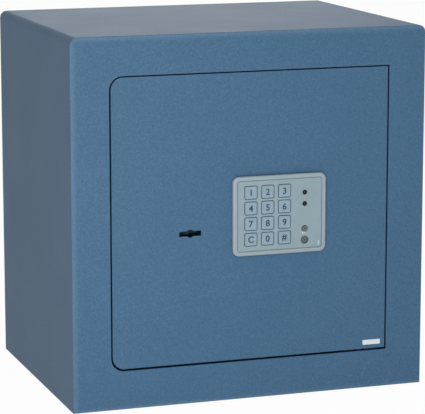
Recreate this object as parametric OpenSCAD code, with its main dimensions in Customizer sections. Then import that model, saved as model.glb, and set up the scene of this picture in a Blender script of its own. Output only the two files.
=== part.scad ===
/* [Body] */
// Width of the body
body_w = 400; // [360:5:460]
// Height of the body
body_h = 400; // [360:5:460]
// Depth of the body, without the keypad
body_d = 300; // [260:5:380]
// Thickness of the sheet of the wrap, base and back
sheet_t = 2; // [1.5:0.25:3]
// Outer radius of the two long bends at the top
bend_r = 8; // [4:0.5:14]
// Width of the front border around the door opening
border_w = 42; // [38:0.5:48]
// Diameter of the anchor holes in the base and back
anchor_d = 12; // [8:0.5:14]
// Distance between the two anchor holes of a pair
anchor_pitch = 200; // [140:5:240]
// Height of the anchor holes in the back
wall_anchor_z = 200; // [150:5:260]
// Thickness of the felt floor mat
mat_t = 3; // [2:0.5:5]
// Gap between the floor mat and the walls
mat_gap = 2; // [1:0.5:6]
// Diameter of the cut-outs in the mat over the anchor holes
mat_hole_d = 30; // [20:1:40]

/* [Door] */
// Thickness of the front frame and of the door
front_t = 4; // [3:0.5:5]
// Gap beside the closed door
door_gap = 1.6; // [1.4:0.1:2.5]
// Gap under the closed door
sill_gap = 2.2; // [1.4:0.1:3]
// Gap over the closed door
head_gap = 1.2; // [1:0.1:2.5]
// Radius of the two corners on the door's free side
door_corner_r = 13; // [6:0.5:20]
// Diameter of the concealed hinge pins
pin_d = 8; // [6:0.5:10]
// Height of each hinge lug on the door
lug_h = 24; // [18:1:30]
// Height of each hinge bracket on the body
bracket_h = 14; // [10:1:18]
// Length of the dead bar on the hinge side
dead_bar_l = 220; // [160:5:240]
// How far the dead bar reaches behind the frame
dead_bar_reach = 12; // [6:1:18]

/* [Bolts] */
// Diameter of the two locking bolts
bolt_d = 20; // [16:1:24]
// Length of each bolt
bolt_l = 56; // [50:1:64]
// Distance between the two bolts
bolt_pitch = 160; // [130:5:190]
// Depth of the bolts' axes behind the door plate
bolt_depth = 22; // [20:1:26]
// Distance of the drawn-back bolt tips from the edge of the opening
bolt_tip_gap = 6; // [5:0.5:10]
// Thickness of the bar that joins the bolts
bar_t = 6; // [4:0.5:8]
// Thickness of the drive rack
rack_t = 5; // [4:0.5:7]

/* [Gears] */
// Module of the rack and its two pinions
gear_m = 1; // [0.8:0.05:1.2]
// Teeth of the key barrel's pinion, which set the throw of the bolts
barrel_teeth = 12; // [12:1:14]
// Teeth of the motor's pinion
motor_teeth = 16; // [13:1:18]
// Rack pitches from the key barrel to the motor
motor_pitches = 16; // [14:1:18]
// Width of both pinions
pinion_w = 8; // [6:0.5:10]

/* [Keyhole] */
// Distance of the keyhole from the free edge of the opening
keyhole_in = 88.5; // [83:0.5:98]
// Height of the keyhole above the middle of the body
keyhole_dz = -13.5; // [-25:0.1:0]
// Width of the double-bit keyhole
keyhole_w = 24.5; // [20:0.5:25]
// Height of the keyhole's two wings
keyhole_wing = 5.6; // [4.6:0.1:6]
// Diameter of the keyhole's round middle
keyhole_d = 8.6; // [7:0.1:10]
// Diameter of the key barrel
barrel_d = 29; // [28:0.5:32]
// Length of the key barrel
barrel_l = 13.6; // [11:0.2:14]

/* [Keypad] */
// Width of the keypad
keypad_w = 105.8; // [98:0.1:120]
// Height of the keypad
keypad_h = 86.2; // [82:0.1:100]
// Place of the keypad's middle across the door
keypad_x = 29.3; // [20:0.1:40]
// Height of the keypad's middle above the middle of the body
keypad_dz = 2.6; // [-20:0.1:20]
// How far the keypad stands out of the door
keypad_d = 8; // [7.5:0.1:10]
// Corner radius of the keypad
keypad_r = 7; // [5:0.5:10]
// Width of the keypad's raised rim
rim_w = 4.5; // [3.5:0.25:6]
// Depth of the front panel below the rim
panel_drop = 1; // [0.6:0.1:1.4]
// Side of a square key
key_side = 13.2; // [12:0.2:14]
// Pitch of the keys across
key_pitch_x = 19.15; // [17.5:0.05:20]
// Pitch of the keys up
key_pitch_z = 17; // [16.5:0.05:18]
// Travel of a key
key_travel = 1; // [0.6:0.1:1.2]
// Diameter of the two status lights
light_d = 5; // [3:0.1:6]
// Distance between the two status lights
light_pitch = 12.4; // [8:0.1:14]
// Distance between the two outside battery contacts
contact_pitch = 12.5; // [11:0.1:14]

/* [Inner cover] */
// Depth of the cover over the works
cover_d = 50; // [48:1:54]
// Wall of the cover
cover_t = 1.5; // [1.2:0.1:2]
// Gap from the cover to the door's upper and lower edges
cover_margin = 18; // [14:1:24]
// Diameter of the battery cells
cell_d = 14.2; // [13.8:0.1:14.5]
// Length of the battery cells
cell_l = 50.2; // [49:0.1:51]

/* [Hidden] */
KEYS = ["key_1", "key_2", "key_3", "key_4", "key_5", "key_6",
        "key_7", "key_8", "key_9", "key_clear", "key_0", "key_hash"];

$fn = 64;

// Colours
PAINT = "#4f7190";
STEEL = "#b4b8bc";
BRASS = "#c8a65a";
BLACK = "#2a2c30";
SHELL = "#9fb0bb";
PANEL = "#90a4ad";
KEY = "#a4b8c2";
BOARD = "#2f6b45";
FELT = "#3a3d42";

// Clearances
run_clear = 0.05; // radial, pin in its bore
hole_clear = 0.25; // radial, screw in its hole
side_clear = 0.2; // between flat pieces that slide or drop in
swing_clear = 0.3; // door's corner past the frame as it swings
bolt_clear = 0.4; // bolt behind its keeper
past = 1; // how far a cutter runs past a face

// Corner radius of the floor mat
mat_r = 6;

// Planes across the depth
front_y = -body_d / 2;
back_y = body_d / 2;
door_y = front_y + front_t;
mid_z = body_h / 2;
half_w = body_w / 2;

// Opening and door
open_hw = half_w - border_w;
open_lo = border_w;
open_hi = body_h - border_w;
door_hw = open_hw - door_gap;
door_lo = open_lo + sill_gap;
door_hi = open_hi - head_gap;

// Hinge: the pivot lies behind the frame, and far enough in from the door's
// edge for the front corner of that edge to pass the frame
pin_skin = 0.5;
pivot_back = front_t + pin_skin + pin_d / 2;
pivot_y = front_y + pivot_back;
pivot_room = door_gap - swing_clear;
pivot_inset = (pivot_back * pivot_back - pivot_room * pivot_room) / (2 * pivot_room);
pivot_x = door_hw - pivot_inset;
lug_wall = 6;
lug_r = pin_d / 2 + lug_wall;
bracket_wall = 8;
bracket_r = pin_d / 2 + bracket_wall;
bracket_foot = 8;
bracket_hw = bracket_r + bracket_foot;
pin_head_over = 1.5;
pin_head_r = pin_d / 2 + pin_head_over;
pin_head_h = 2.5;
washer_over = 2;
washer_r = pin_d / 2 + washer_over;
washer_play = 0.1;

// Keyhole, rack and pinions
keyhole_x = -open_hw + keyhole_in;
keyhole_z = mid_z + keyhole_dz;
pressure_angle = 25;
backlash = 0.16;
rack_pitch = PI * gear_m;
addendum = gear_m;
dedendum = 1.25 * gear_m;
barrel_pr = barrel_teeth * gear_m / 2;
motor_pr = motor_teeth * gear_m / 2;
throw = PI * barrel_pr;
rack_z = keyhole_z + barrel_pr;
motor_x = keyhole_x + motor_pitches * rack_pitch;
motor_z = rack_z - motor_pr;

// Bolts and the bar that joins them
bolt_y = door_y + bolt_depth;
bolt_tip_x = -open_hw + bolt_tip_gap;
bar_x0 = bolt_tip_x + bolt_l;
bar_x1 = bar_x0 + bar_t;
bar_hw = bolt_d / 2;
bolt_zs = [mid_z - bolt_pitch / 2, mid_z + bolt_pitch / 2];
bolt_nose = 2;
bar_over = 14;
foot_t = 4;
foot_hw = 5;
foot_hh = 19;
foot_screw = 14;
foot_up = 5;
rack_mid = rack_z + foot_up;
rack_h = 12;
rack_spare = 3;
rack_end_x = motor_x + throw + rack_spare * rack_pitch;
screw_d = 4;
head_d = 8;
head_h = 2.6;

// Inner cover
cover_free = 8;
cover_l = -open_hw + cover_free;
cover_r = pivot_x - bracket_hw;
cover_lo = door_lo + cover_margin;
cover_hi = door_hi - cover_margin;
cover_y = door_y + cover_d;
cover_in_y = cover_y - cover_t;
cover_edge_r = 6;
post_in = 15;
post_d = 10;
post_xs = [cover_l + post_in, cover_r - post_in];
post_zs = [cover_lo + post_in, cover_hi - post_in];
pilot_l = 12;
pilot_room = 2;

// Guide channel of the bolts
guide_t = 2;
guide_gap = 1;
guide_x0 = cover_l + cover_t + guide_gap;
guide_x1 = bar_x0 - throw - guide_gap;
guide_over = 18;
guide_lip = 2;
guide_d = bolt_depth + bolt_d / 2 + guide_lip;

// Keeper behind the free side of the frame
keeper_w = 24;
keeper_wall = 3;
keeper_in = 1.5;
keeper_over = 24;
keeper_y = bolt_y - bolt_d / 2 - bolt_clear;

// Dead bar
dead_t = 4;
dead_clear = 1.5;
dead_base_w = 18;
dead_edge = 6;
dead_x0 = door_hw - dead_edge - dead_base_w;

// Key lock
case_wall = 4;
case_end = 1.8;
case_hw = barrel_d / 2 + case_wall;
case_r = 5;
ear_t = 3;
ear_out = 11;
ear_hw = case_hw + ear_out;
ear_hh = 9;
ear_screw_in = 5.5;
ear_screw = ear_hw - ear_screw_in;
barrel_y0 = door_y + side_clear;
barrel_y1 = barrel_y0 + barrel_l;
case_y1 = barrel_y1 + side_clear + case_end;
journal_r = 4;
barrel_web = 1.6;
pinion_y0 = bolt_y - pinion_w / 2;
pinion_y1 = bolt_y + pinion_w / 2;

// Motor
gearbox_y1 = case_y1;
gearbox_left = 15;
gearbox_right = 24;
gearbox_up = 13;
gearbox_down = 16;
gearbox_r = 3;
gearbox_room = 0.9;
gearbox_lift = head_h + gearbox_room;
gearbox_y0 = door_y + gearbox_lift;
gearbox_foot_r = 3;
gearbox_foot_in = 6;
shaft_r = 3;
shaft_in = 8;
motor_r = 7;
motor_l = 26;
motor_cap_l = 2.5;
motor_cap_r = 5.5;
motor_boss_r = 2.4;
motor_in = 1;
motor_y = gearbox_y1 - motor_r - motor_in;
motor_drop = 7;
motor_axis_z = motor_z - motor_drop;
motor_x0 = motor_x + gearbox_right;
motor_mid = motor_x0 + motor_l / 2;
strap_t = 1.5;
strap_w = 8;
strap_foot = 9;

// Control board, above the keypad's middle on the inside
board_w = 76;
board_h = 62;
board_t = 1.6;
board_lift = 10;
board_aside = 16.9;
board_up = 78;
board_x = keypad_x + board_aside;
board_z = mid_z + board_up;
board_y0 = door_y + board_lift;
board_y1 = board_y0 + board_t;
board_in = 5;
spacer_d = 6;
board_hole_r = 1.6;
relay_w = 19;
relay_h = 16;
relay_d = 15;
relay_left = 20;
relay_up = 4;
chip_side = 12;
chip_d = 2;
header_w = 16;
header_h = 6;
header_d = 8;
header_down = 23;
header_apart = 16;
capacitor_x = 20;
capacitor_z = 2;
capacitor_pitch = 12;
capacitor_h = 12;
capacitor_r = 4;

// Batteries: four cells side by side, lying across the door
cell_count = 4;
cell_gap = 0.8;
cell_nub_l = 1.2;
cell_nub_d = 5.2;
contact_t = 0.6;
contact_r = 5;
contact_gap = 0.2;
tray_wall = 1.5;
spring_room = 4;
tray_hw = cell_l / 2 + spring_room + tray_wall;
tray_hh = (cell_count * (cell_d + cell_gap) + cell_gap) / 2 + tray_wall;
tray_aside = 0.9;
tray_x = keypad_x + tray_aside;
tray_up = 14;
tray_z = cover_lo + tray_up + tray_hh;
tray_d = cell_d + 2 * side_clear + tray_wall;
tray_y0 = cover_in_y - tray_d;
cell_y = tray_y0 + tray_wall + side_clear + cell_d / 2;
lid_lap = 1;
lid_hw = tray_hw + lid_lap;
lid_hh = tray_hh + lid_lap;
lid_t = 1.8;
lid_y0 = cover_y + side_clear;
lid_slide = 64;
rail_w = 4;
rail_lip = 2;
rail_lip_t = 1.2;
grip_count = 4;
grip_pitch = 3;
grip_w = 1.4;
grip_l = 22;
grip_in = 4;
grip_out = 0.8;

// Reset switch, beside the battery lid
reset_aside = 16;
reset_x = tray_x + tray_hw + reset_aside;
reset_z = tray_z;
reset_d = 10;
reset_cap_d = 7;
reset_nut_d = 15;
reset_collar_d = 13;
reset_nut_t = 2.4;
reset_body_l = 16;
reset_collar = 2;
reset_travel = 2;
reset_well = 6;
reset_proud = 3.5;

// Keypad planes, counted out of the door
keypad_z = mid_z + keypad_dz;
gasket_t = 0.5;
pad_face = front_y - keypad_d;
pad_base = front_y - gasket_t;
pad_edge = 1.5;
pad_band = 1;
pad_draw = 1;
pad_foot = 0.5;
gasket_back = 0.6;
gasket_in = pad_draw + gasket_back;
pad_wall = 2.4;
panel_t = 1.5;
panel_y0 = pad_face + panel_drop;
panel_y1 = panel_y0 + panel_t;
panel_groove_w = 0.7;
panel_groove_d = 0.8;
pad_hw = keypad_w / 2;
pad_hh = keypad_h / 2;
pad_board_t = 1.4;
pad_board_y0 = pad_base - pad_board_t;

// Keys, counted from the keypad's left edge and middle
key_column_in = 20;
key_first_x = keypad_x - pad_hw + key_column_in;
key_rows = 4;
key_cols = 3;
key_gap = 0.5;
key_r = 1.2;
key_skirt = 1.3;
key_skirt_t = 0.7;
key_seat = 0.3;
key_proud = 0.4;
key_y0 = panel_y0 - key_proud;
skirt_y0 = panel_y1 + key_seat;
key_mat_y0 = skirt_y0 + key_skirt_t + key_travel + side_clear;

// Right column of the keypad, counted from its right edge
column_in = 24.1;
light_up = 16.35;
contact_down = 23.35;
column_x = keypad_x + pad_hw - column_in;
light_z = keypad_z + light_up;
light_out = 1.2;
contact_z = keypad_z - contact_down;
stud_d = 7;
stud_post_d = 4;
socket_d = 8.6;
socket_pin_d = 3;
socket_ring = 1;
contact_out = 0.5;

// Bosses and screws of the keypad
boss_d = 6.4;
boss_sink = 0.6;
boss_x = pad_hw - pad_wall - boss_d / 2 + boss_sink;
boss_z = pad_hh - pad_wall - boss_d / 2 + boss_sink;
pad_screw_d = 3;
pad_screw_l = 7;

// Cable hole behind the keypad, and the ribbon through it
cable_d = 16;
cable_aside = 20.9;
cable_up = 23.8;
cable_x = keypad_x + cable_aside;
cable_z = keypad_z + cable_up;
ribbon_w = 10;
ribbon_t = 0.8;
ribbon_out = 5;
ribbon_turn_y = door_y + ribbon_out;

// Rectangle from its edges
module slab(x0, x1, y0, y1) {
    translate([x0, y0]) square([x1 - x0, y1 - y0]);
}

// Rectangle with four round corners
module round_slab(x0, x1, y0, y1, r) {
    slab(x0 + r, x1 - r, y0, y1);
    slab(x0, x1, y0 + r, y1 - r);
    for (x = [x0 + r, x1 - r], y = [y0 + r, y1 - r])
        translate([x, y]) circle(r);
}

// Profile in X and Z, carried along Y
module along_y(y0, y1) {
    translate([0, y1, 0]) rotate([90, 0, 0]) linear_extrude(y1 - y0) children();
}

// Profile in Y and Z, carried along X
module along_x(x0, x1) {
    translate([x0, 0, 0]) rotate([90, 0, 90]) linear_extrude(x1 - x0) children();
}

// Profile in X and Y, carried along Z
module along_z(z0, z1) {
    translate([0, 0, z0]) linear_extrude(z1 - z0) children();
}

// Round bar along Y, from its axis and ends
module bar_y(x, z, y0, y1, r) {
    translate([x, y1, z]) rotate([90, 0, 0]) cylinder(h = y1 - y0, r = r);
}

// Round bar along X, from its axis and ends
module bar_x(y, z, x0, x1, r) {
    translate([x0, y, z]) rotate([0, 90, 0]) cylinder(h = x1 - x0, r = r);
}

// Outline of the body's front, with its two upper bends
module body_outline(w, h, r, low = 0) {
    slab(-w / 2, w / 2, low, h - r);
    slab(-w / 2 + r, w / 2 - r, low, h);
    for (side = [-1, 1])
        translate([side * (w / 2 - r), h - r]) circle(r);
}

// Outline of the door, round at the corners of its free side
module door_outline(hw, lo, hi, r) {
    slab(-hw + r, hw, lo, hi);
    slab(-hw, hw, lo + r, hi - r);
    for (z = [lo + r, hi - r])
        translate([-hw + r, z]) circle(r);
}

// Double-bit keyhole
module keyhole_outline() {
    translate([keyhole_x, keyhole_z]) {
        circle(d = keyhole_d);
        slab(-keyhole_w / 2, keyhole_w / 2, -keyhole_wing / 2, keyhole_wing / 2);
    }
}

// Angle of an involute at radius r above its base circle, in degrees
function involute(base_r, r) =
    let (a = acos(min(1, base_r / r))) tan(a) * 180 / PI - a;

// Half the angle that a tooth takes at radius r
function tooth_half(teeth, r) =
    let (pitch_r = teeth * gear_m / 2, base_r = pitch_r * cos(pressure_angle))
    90 / teeth - backlash / pitch_r / 4 * 180 / PI
    + involute(base_r, pitch_r) - involute(base_r, max(r, base_r));

// One flank from the root to the tip, as [radius, half angle]
function flank(teeth, steps = 4) =
    let (
        pitch_r = teeth * gear_m / 2,
        base_r = pitch_r * cos(pressure_angle),
        root_r = pitch_r - dedendum,
        low_r = max(base_r, root_r),
        tip_r = pitch_r + addendum
    )
    concat(
        [[root_r, tooth_half(teeth, low_r)]],
        [for (i = [0:steps])
            let (r = low_r + (tip_r - low_r) * i / steps) [r, tooth_half(teeth, r)]]
    );

// Spur gear outline with one tooth pointing up
module gear_outline(teeth) {
    side = flank(teeth);
    last = len(side) - 1;
    polygon([
        for (tooth = [0:teeth - 1])
            let (middle = 90 + tooth * 360 / teeth)
            each concat(
                [for (p = side) p[0] * [cos(middle - p[1]), sin(middle - p[1])]],
                [for (i = [0:last])
                    let (p = side[last - i]) p[0] * [cos(middle + p[1]), sin(middle + p[1])]]
            )
    ]);
}

// Rack with its teeth down, a space over the key barrel, and a plain back
module rack_outline(x0, x1) {
    low = rack_z - addendum;
    root = rack_z + dedendum;
    half = rack_pitch / 4 - backlash / 4;
    slope = tan(pressure_angle);
    first = ceil((x0 - keyhole_x) / rack_pitch);
    count = floor((x1 - keyhole_x) / rack_pitch) - first;
    slab(x0, x1, root, rack_z + rack_h);
    for (i = [0:count - 1])
        translate([keyhole_x + (first + i + 0.5) * rack_pitch, 0])
            polygon([
                [-half - dedendum * slope, root + backlash],
                [-half - dedendum * slope, root],
                [-half + addendum * slope, low],
                [half - addendum * slope, low],
                [half + dedendum * slope, root],
                [half + dedendum * slope, root + backlash]
            ]);
}

// Wrap of the body: two sides and the top, bent from one sheet
module body_wrap() {
    color(PAINT) along_y(door_y, back_y) difference() {
        body_outline(body_w, body_h, bend_r);
        body_outline(body_w - 2 * sheet_t, body_h - sheet_t, bend_r - sheet_t, -past);
    }
}

// Base with its two anchor holes
module base_plate() {
    color(PAINT) along_z(0, sheet_t) difference() {
        slab(-half_w + sheet_t, half_w - sheet_t, door_y, back_y - sheet_t);
        for (side = [-1, 1])
            translate([side * anchor_pitch / 2, 0]) circle(d = anchor_d);
    }
}

// Back with its two anchor holes
module back_plate() {
    color(PAINT) along_y(back_y - sheet_t, back_y) difference() {
        body_outline(body_w - 2 * sheet_t, body_h - sheet_t, bend_r - sheet_t);
        for (side = [-1, 1])
            translate([side * anchor_pitch / 2, wall_anchor_z]) circle(d = anchor_d);
    }
}

// Front frame around the door
module front_frame() {
    color(PAINT) along_y(front_y, door_y) difference() {
        body_outline(body_w, body_h, bend_r);
        door_outline(open_hw, open_lo, open_hi, door_corner_r + door_gap);
    }
}

// Folded channel behind the frame, which the bolts slide behind
module bolt_keeper() {
    x1 = -open_hw - keeper_in;
    x0 = x1 - keeper_w;
    color(PAINT) along_z(bolt_zs[0] - keeper_over, bolt_zs[1] + keeper_over) difference() {
        slab(x0, x1, door_y, keeper_y);
        slab(x0 + keeper_wall, x1 - keeper_wall, door_y - past, keeper_y - keeper_wall);
    }
}

// Hinge bracket on the back of the frame, with the bore of a hinge pin
module hinge_bracket(z0) {
    color(PAINT) along_z(z0, z0 + bracket_h) difference() {
        union() {
            slab(pivot_x - bracket_hw, pivot_x + bracket_hw, door_y, pivot_y);
            translate([pivot_x, pivot_y]) circle(bracket_r);
        }
        slab(pivot_x - bracket_hw, pivot_x + bracket_hw, front_y - bracket_r, door_y);
        translate([pivot_x, pivot_y]) circle(pin_d / 2 + run_clear);
    }
}

module upper_hinge_bracket() {
    hinge_bracket(open_hi);
}

module lower_hinge_bracket() {
    hinge_bracket(open_lo - bracket_h);
}

// Washer that carries the door on the lower bracket
module thrust_washer() {
    color(BRASS) along_z(open_lo, door_lo - washer_play) difference() {
        translate([pivot_x, pivot_y]) circle(washer_r);
        translate([pivot_x, pivot_y]) circle(pin_d / 2 + run_clear);
    }
}

// Felt mat on the base, cut out over the anchor holes
module floor_mat() {
    edge_x = half_w - sheet_t - mat_gap;
    color(FELT) along_z(sheet_t, sheet_t + mat_t) difference() {
        round_slab(-edge_x, edge_x, door_y + mat_gap, back_y - sheet_t - mat_gap, mat_r);
        for (side = [-1, 1])
            translate([side * anchor_pitch / 2, 0]) circle(d = mat_hole_d);
    }
}

// Door plate, with the keyhole, the cable hole and the keypad's screw holes
module door_plate() {
    color(PAINT) along_y(front_y, door_y) difference() {
        door_outline(door_hw, door_lo, door_hi, door_corner_r);
        keyhole_outline();
        translate([cable_x, cable_z]) circle(d = cable_d);
        for (sx = [-1, 1], sz = [-1, 1])
            translate([keypad_x + sx * boss_x, keypad_z + sz * boss_z])
                circle(pad_screw_d / 2 + hole_clear);
    }
}

// Two lugs on the back of the door that hold the hinge pins
module hinge_lugs() {
    color(PAINT) for (z0 = [door_lo, door_hi - lug_h])
        along_z(z0, z0 + lug_h) difference() {
            union() {
                slab(pivot_x - lug_r, pivot_x + lug_r, door_y, pivot_y);
                translate([pivot_x, pivot_y]) circle(lug_r);
            }
            slab(pivot_x - 2 * lug_r, pivot_x + 2 * lug_r, front_y - lug_r, door_y);
            translate([pivot_x, pivot_y]) circle(pin_d / 2 + run_clear);
        }
}

// Head of a hinge pin, with a flat that lies against the door
module pin_head(z0) {
    along_z(z0, z0 + pin_head_h) difference() {
        circle(pin_head_r);
        slab(-pin_head_r, pin_head_r, -pin_head_r, door_y + side_clear - pivot_y);
    }
}

// Hinge pins, each with a head inside its lug and its end in a bracket
module hinge_pins() {
    in_door = lug_h + pin_head_h;
    color(STEEL) translate([pivot_x, pivot_y, 0]) {
        translate([0, 0, open_lo - bracket_h])
            cylinder(h = bracket_h + sill_gap + in_door, d = pin_d);
        pin_head(door_lo + lug_h);
        translate([0, 0, door_hi - in_door])
            cylinder(h = in_door + head_gap + bracket_h, d = pin_d);
        pin_head(door_hi - in_door);
    }
}

// Dead bar: stands behind the frame on the hinge side when the door is shut
module dead_bar() {
    lip_x = door_hw - dead_edge / 2;
    end_x = open_hw + dead_bar_reach;
    color(PAINT) along_z(mid_z - dead_bar_l / 2, mid_z + dead_bar_l / 2) difference() {
        slab(dead_x0, end_x, door_y, door_y + dead_clear + dead_t);
        slab(lip_x, end_x + past, door_y - past, door_y + dead_clear);
        slab(dead_x0 - past, lip_x - dead_t, door_y + dead_t, door_y + dead_clear + dead_t + past);
    }
}

// Channel on the back of the door with two walls that guide the bolts
module bolt_guide() {
    color(STEEL) difference() {
        along_z(bolt_zs[0] - guide_over, bolt_zs[1] + guide_over) difference() {
            slab(guide_x0, guide_x1, door_y, door_y + guide_d);
            slab(guide_x0 + guide_t, guide_x1 - guide_t, door_y + guide_t, door_y + guide_d + past);
        }
        for (z = bolt_zs)
            bar_x(bolt_y, z, guide_x0 - past, guide_x1 + past, bolt_d / 2 + run_clear);
        along_y(door_y + guide_t, door_y + guide_d + past)
            slab(guide_x0 - past, guide_x1 + past,
                 bolt_zs[0] + guide_over, bolt_zs[1] - guide_over);
    }
}

// Cover over the works on the inside of the door, with the rails of the battery lid
module inner_cover() {
    color(SHELL) {
        difference() {
            along_y(door_y, cover_y) round_slab(cover_l, cover_r, cover_lo, cover_hi, cover_edge_r);
            along_y(door_y - past, cover_in_y)
                round_slab(cover_l + cover_t, cover_r - cover_t, cover_lo + cover_t,
                           cover_hi - cover_t, cover_edge_r - cover_t);
            for (z = bolt_zs)
                bar_x(bolt_y, z, cover_l - past, cover_l + cover_t + past, bolt_d / 2 + bolt_clear);
            along_y(cover_in_y - past, cover_y + past) {
                slab(tray_x - tray_hw + tray_wall, tray_x + tray_hw - tray_wall,
                     tray_z - tray_hh + tray_wall, tray_z + tray_hh - tray_wall);
                translate([reset_x, reset_z]) circle(reset_d / 2 + side_clear);
                for (x = post_xs, z = post_zs)
                    translate([x, z]) circle(screw_d / 2 + hole_clear);
            }
        }
        for (side = [-1, 1])
            translate([0, 0, tray_z]) lid_rail(side);
    }
}

// One rail of the battery lid: a foot on the cover and a lip over the lid
module lid_rail(side) {
    foot_z = lid_hh + side_clear;
    lip_y = lid_y0 + lid_t + side_clear;
    x0 = tray_x - lid_hw - lid_slide;
    x1 = tray_x + lid_hw;
    along_x(x0, x1) {
        slab(cover_y, lip_y + rail_lip_t,
             min(side * foot_z, side * (foot_z + rail_w - rail_lip)),
             max(side * foot_z, side * (foot_z + rail_w - rail_lip)));
        slab(lip_y, lip_y + rail_lip_t,
             min(side * (foot_z - rail_lip), side * (foot_z + rail_w - rail_lip)),
             max(side * (foot_z - rail_lip), side * (foot_z + rail_w - rail_lip)));
    }
}

// Threaded posts between the door and the cover
module cover_posts() {
    color(STEEL) for (x = post_xs, z = post_zs)
        difference() {
            bar_y(x, z, door_y, cover_in_y, post_d / 2);
            bar_y(x, z, cover_in_y - pilot_l, cover_in_y + past, screw_d / 2 + run_clear);
        }
}

// Screws of the cover
module cover_screws() {
    color(STEEL) for (x = post_xs, z = post_zs) {
        bar_y(x, z, cover_y, cover_y + head_h, head_d / 2);
        bar_y(x, z, cover_in_y - pilot_l + pilot_room, cover_y + head_h / 2, screw_d / 2);
    }
}

// Case of the emergency key lock, on the back of the door
module key_lock_case() {
    color(STEEL) difference() {
        union() {
            along_y(door_y, case_y1)
                round_slab(keyhole_x - case_hw, keyhole_x + case_hw,
                           keyhole_z - case_hw, keyhole_z + case_hw, case_r);
            along_y(door_y, door_y + ear_t)
                round_slab(keyhole_x - ear_hw, keyhole_x + ear_hw,
                           keyhole_z - ear_hh, keyhole_z + ear_hh, case_r);
        }
        bar_y(keyhole_x, keyhole_z, door_y - past, barrel_y1 + side_clear,
              barrel_d / 2 + run_clear);
        bar_y(keyhole_x, keyhole_z, barrel_y1, case_y1 + past, journal_r + run_clear);
        for (side = [-1, 1])
            bar_y(keyhole_x + side * ear_screw, keyhole_z, door_y - past,
                  door_y + ear_t + past, screw_d / 2 + hole_clear);
    }
}

// Screws of the key lock's case
module lock_case_screws() {
    color(STEEL) for (side = [-1, 1])
        translate([keyhole_x + side * ear_screw, 0, keyhole_z]) {
            bar_y(0, 0, door_y, door_y + ear_t + head_h / 2, screw_d / 2);
            bar_y(0, 0, door_y + ear_t, door_y + ear_t + head_h, head_d / 2);
        }
}

// Barrel that the key turns, slotted for the key, with its pinion under the rack
module key_barrel() {
    color(STEEL) difference() {
        union() {
            bar_y(keyhole_x, keyhole_z, barrel_y0, barrel_y1, barrel_d / 2);
            bar_y(keyhole_x, keyhole_z, barrel_y1 - past, pinion_y0 + past, journal_r);
            along_y(pinion_y0, pinion_y1)
                translate([keyhole_x, keyhole_z]) gear_outline(barrel_teeth);
        }
        along_y(barrel_y0 - past, barrel_y1 - barrel_web) keyhole_outline();
    }
}

// Gearbox of the lock motor, on four feet that clear the keypad's screws
module motor_gearbox() {
    color(BLACK) difference() {
        union() {
            along_y(gearbox_y0, gearbox_y1)
                round_slab(motor_x - gearbox_left, motor_x + gearbox_right,
                           motor_z - gearbox_down, motor_z + gearbox_up, gearbox_r);
            for (x = [gearbox_foot_in - gearbox_left, gearbox_right - gearbox_foot_in],
                 z = [gearbox_foot_in - gearbox_down, gearbox_up - gearbox_foot_in])
                bar_y(motor_x + x, motor_z + z, door_y, gearbox_y0 + gearbox_room, gearbox_foot_r);
        }
        bar_y(motor_x, motor_z, gearbox_y1 - shaft_in, gearbox_y1 + past, shaft_r + run_clear);
    }
}

// Motor can, lying across the door beside its gearbox
module lock_motor() {
    color(STEEL) {
        bar_x(motor_y, motor_axis_z, motor_x0, motor_x0 + motor_l, motor_r);
        bar_x(motor_y, motor_axis_z, motor_mid, motor_mid + motor_l / 2 + motor_cap_l, motor_cap_r);
        bar_x(motor_y, motor_axis_z, motor_mid, motor_mid + motor_l / 2 + 2 * motor_cap_l, motor_boss_r);
    }
}

// Strap that holds the motor down on the door
module motor_strap() {
    inner_r = motor_r + run_clear;
    outer_r = inner_r + strap_t;
    color(STEEL) along_x(motor_mid - strap_w / 2, motor_mid + strap_w / 2) difference() {
        union() {
            translate([motor_y, motor_axis_z]) circle(outer_r);
            slab(door_y, motor_y, motor_axis_z - outer_r, motor_axis_z + outer_r);
            slab(door_y, door_y + strap_t, motor_axis_z - outer_r - strap_foot,
                 motor_axis_z + outer_r + strap_foot);
        }
        translate([motor_y, motor_axis_z]) circle(inner_r);
        slab(door_y - past, motor_y, motor_axis_z - inner_r, motor_axis_z + inner_r);
        slab(door_y - outer_r, door_y, motor_axis_z - 3 * outer_r, motor_axis_z + 3 * outer_r);
    }
}

// Pinion on the gearbox's shaft
module motor_pinion() {
    color(BRASS) {
        along_y(pinion_y0, pinion_y1) translate([motor_x, motor_z]) gear_outline(motor_teeth);
        bar_y(motor_x, motor_z, gearbox_y1 - shaft_in + side_clear, pinion_y0 + past, shaft_r);
    }
}

// Board that runs the lock
module control_board() {
    color(BOARD) along_y(board_y0, board_y1) difference() {
        slab(board_x - board_w / 2, board_x + board_w / 2,
             board_z - board_h / 2, board_z + board_h / 2);
        for (sx = [-1, 1], sz = [-1, 1])
            translate([board_x + sx * (board_w / 2 - board_in),
                       board_z + sz * (board_h / 2 - board_in)])
                circle(board_hole_r);
    }
}

// Block on the control board, from its middle and size
module board_block(x, z, w, h, d) {
    along_y(board_y1, board_y1 + d)
        translate([board_x + x, board_z + z]) slab(-w / 2, w / 2, -h / 2, h / 2);
}

// Parts on the control board: relay, chip, two plug headers and two capacitors
module board_parts() {
    color(BLACK) {
        board_block(-relay_left, relay_up, relay_w, relay_h, relay_d);
        board_block(0, 0, chip_side, chip_side, chip_d);
        for (side = [-1, 1])
            board_block(side * header_apart, -header_down, header_w, header_h, header_d);
        for (step = [0, 1])
            bar_y(board_x + capacitor_x, board_z + capacitor_z + step * capacitor_pitch,
                  board_y1, board_y1 + capacitor_h, capacitor_r);
    }
}

// Spacers under the control board
module board_spacers() {
    color(STEEL) for (sx = [-1, 1], sz = [-1, 1])
        bar_y(board_x + sx * (board_w / 2 - board_in),
              board_z + sz * (board_h / 2 - board_in), door_y, board_y0, spacer_d / 2);
}

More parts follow.
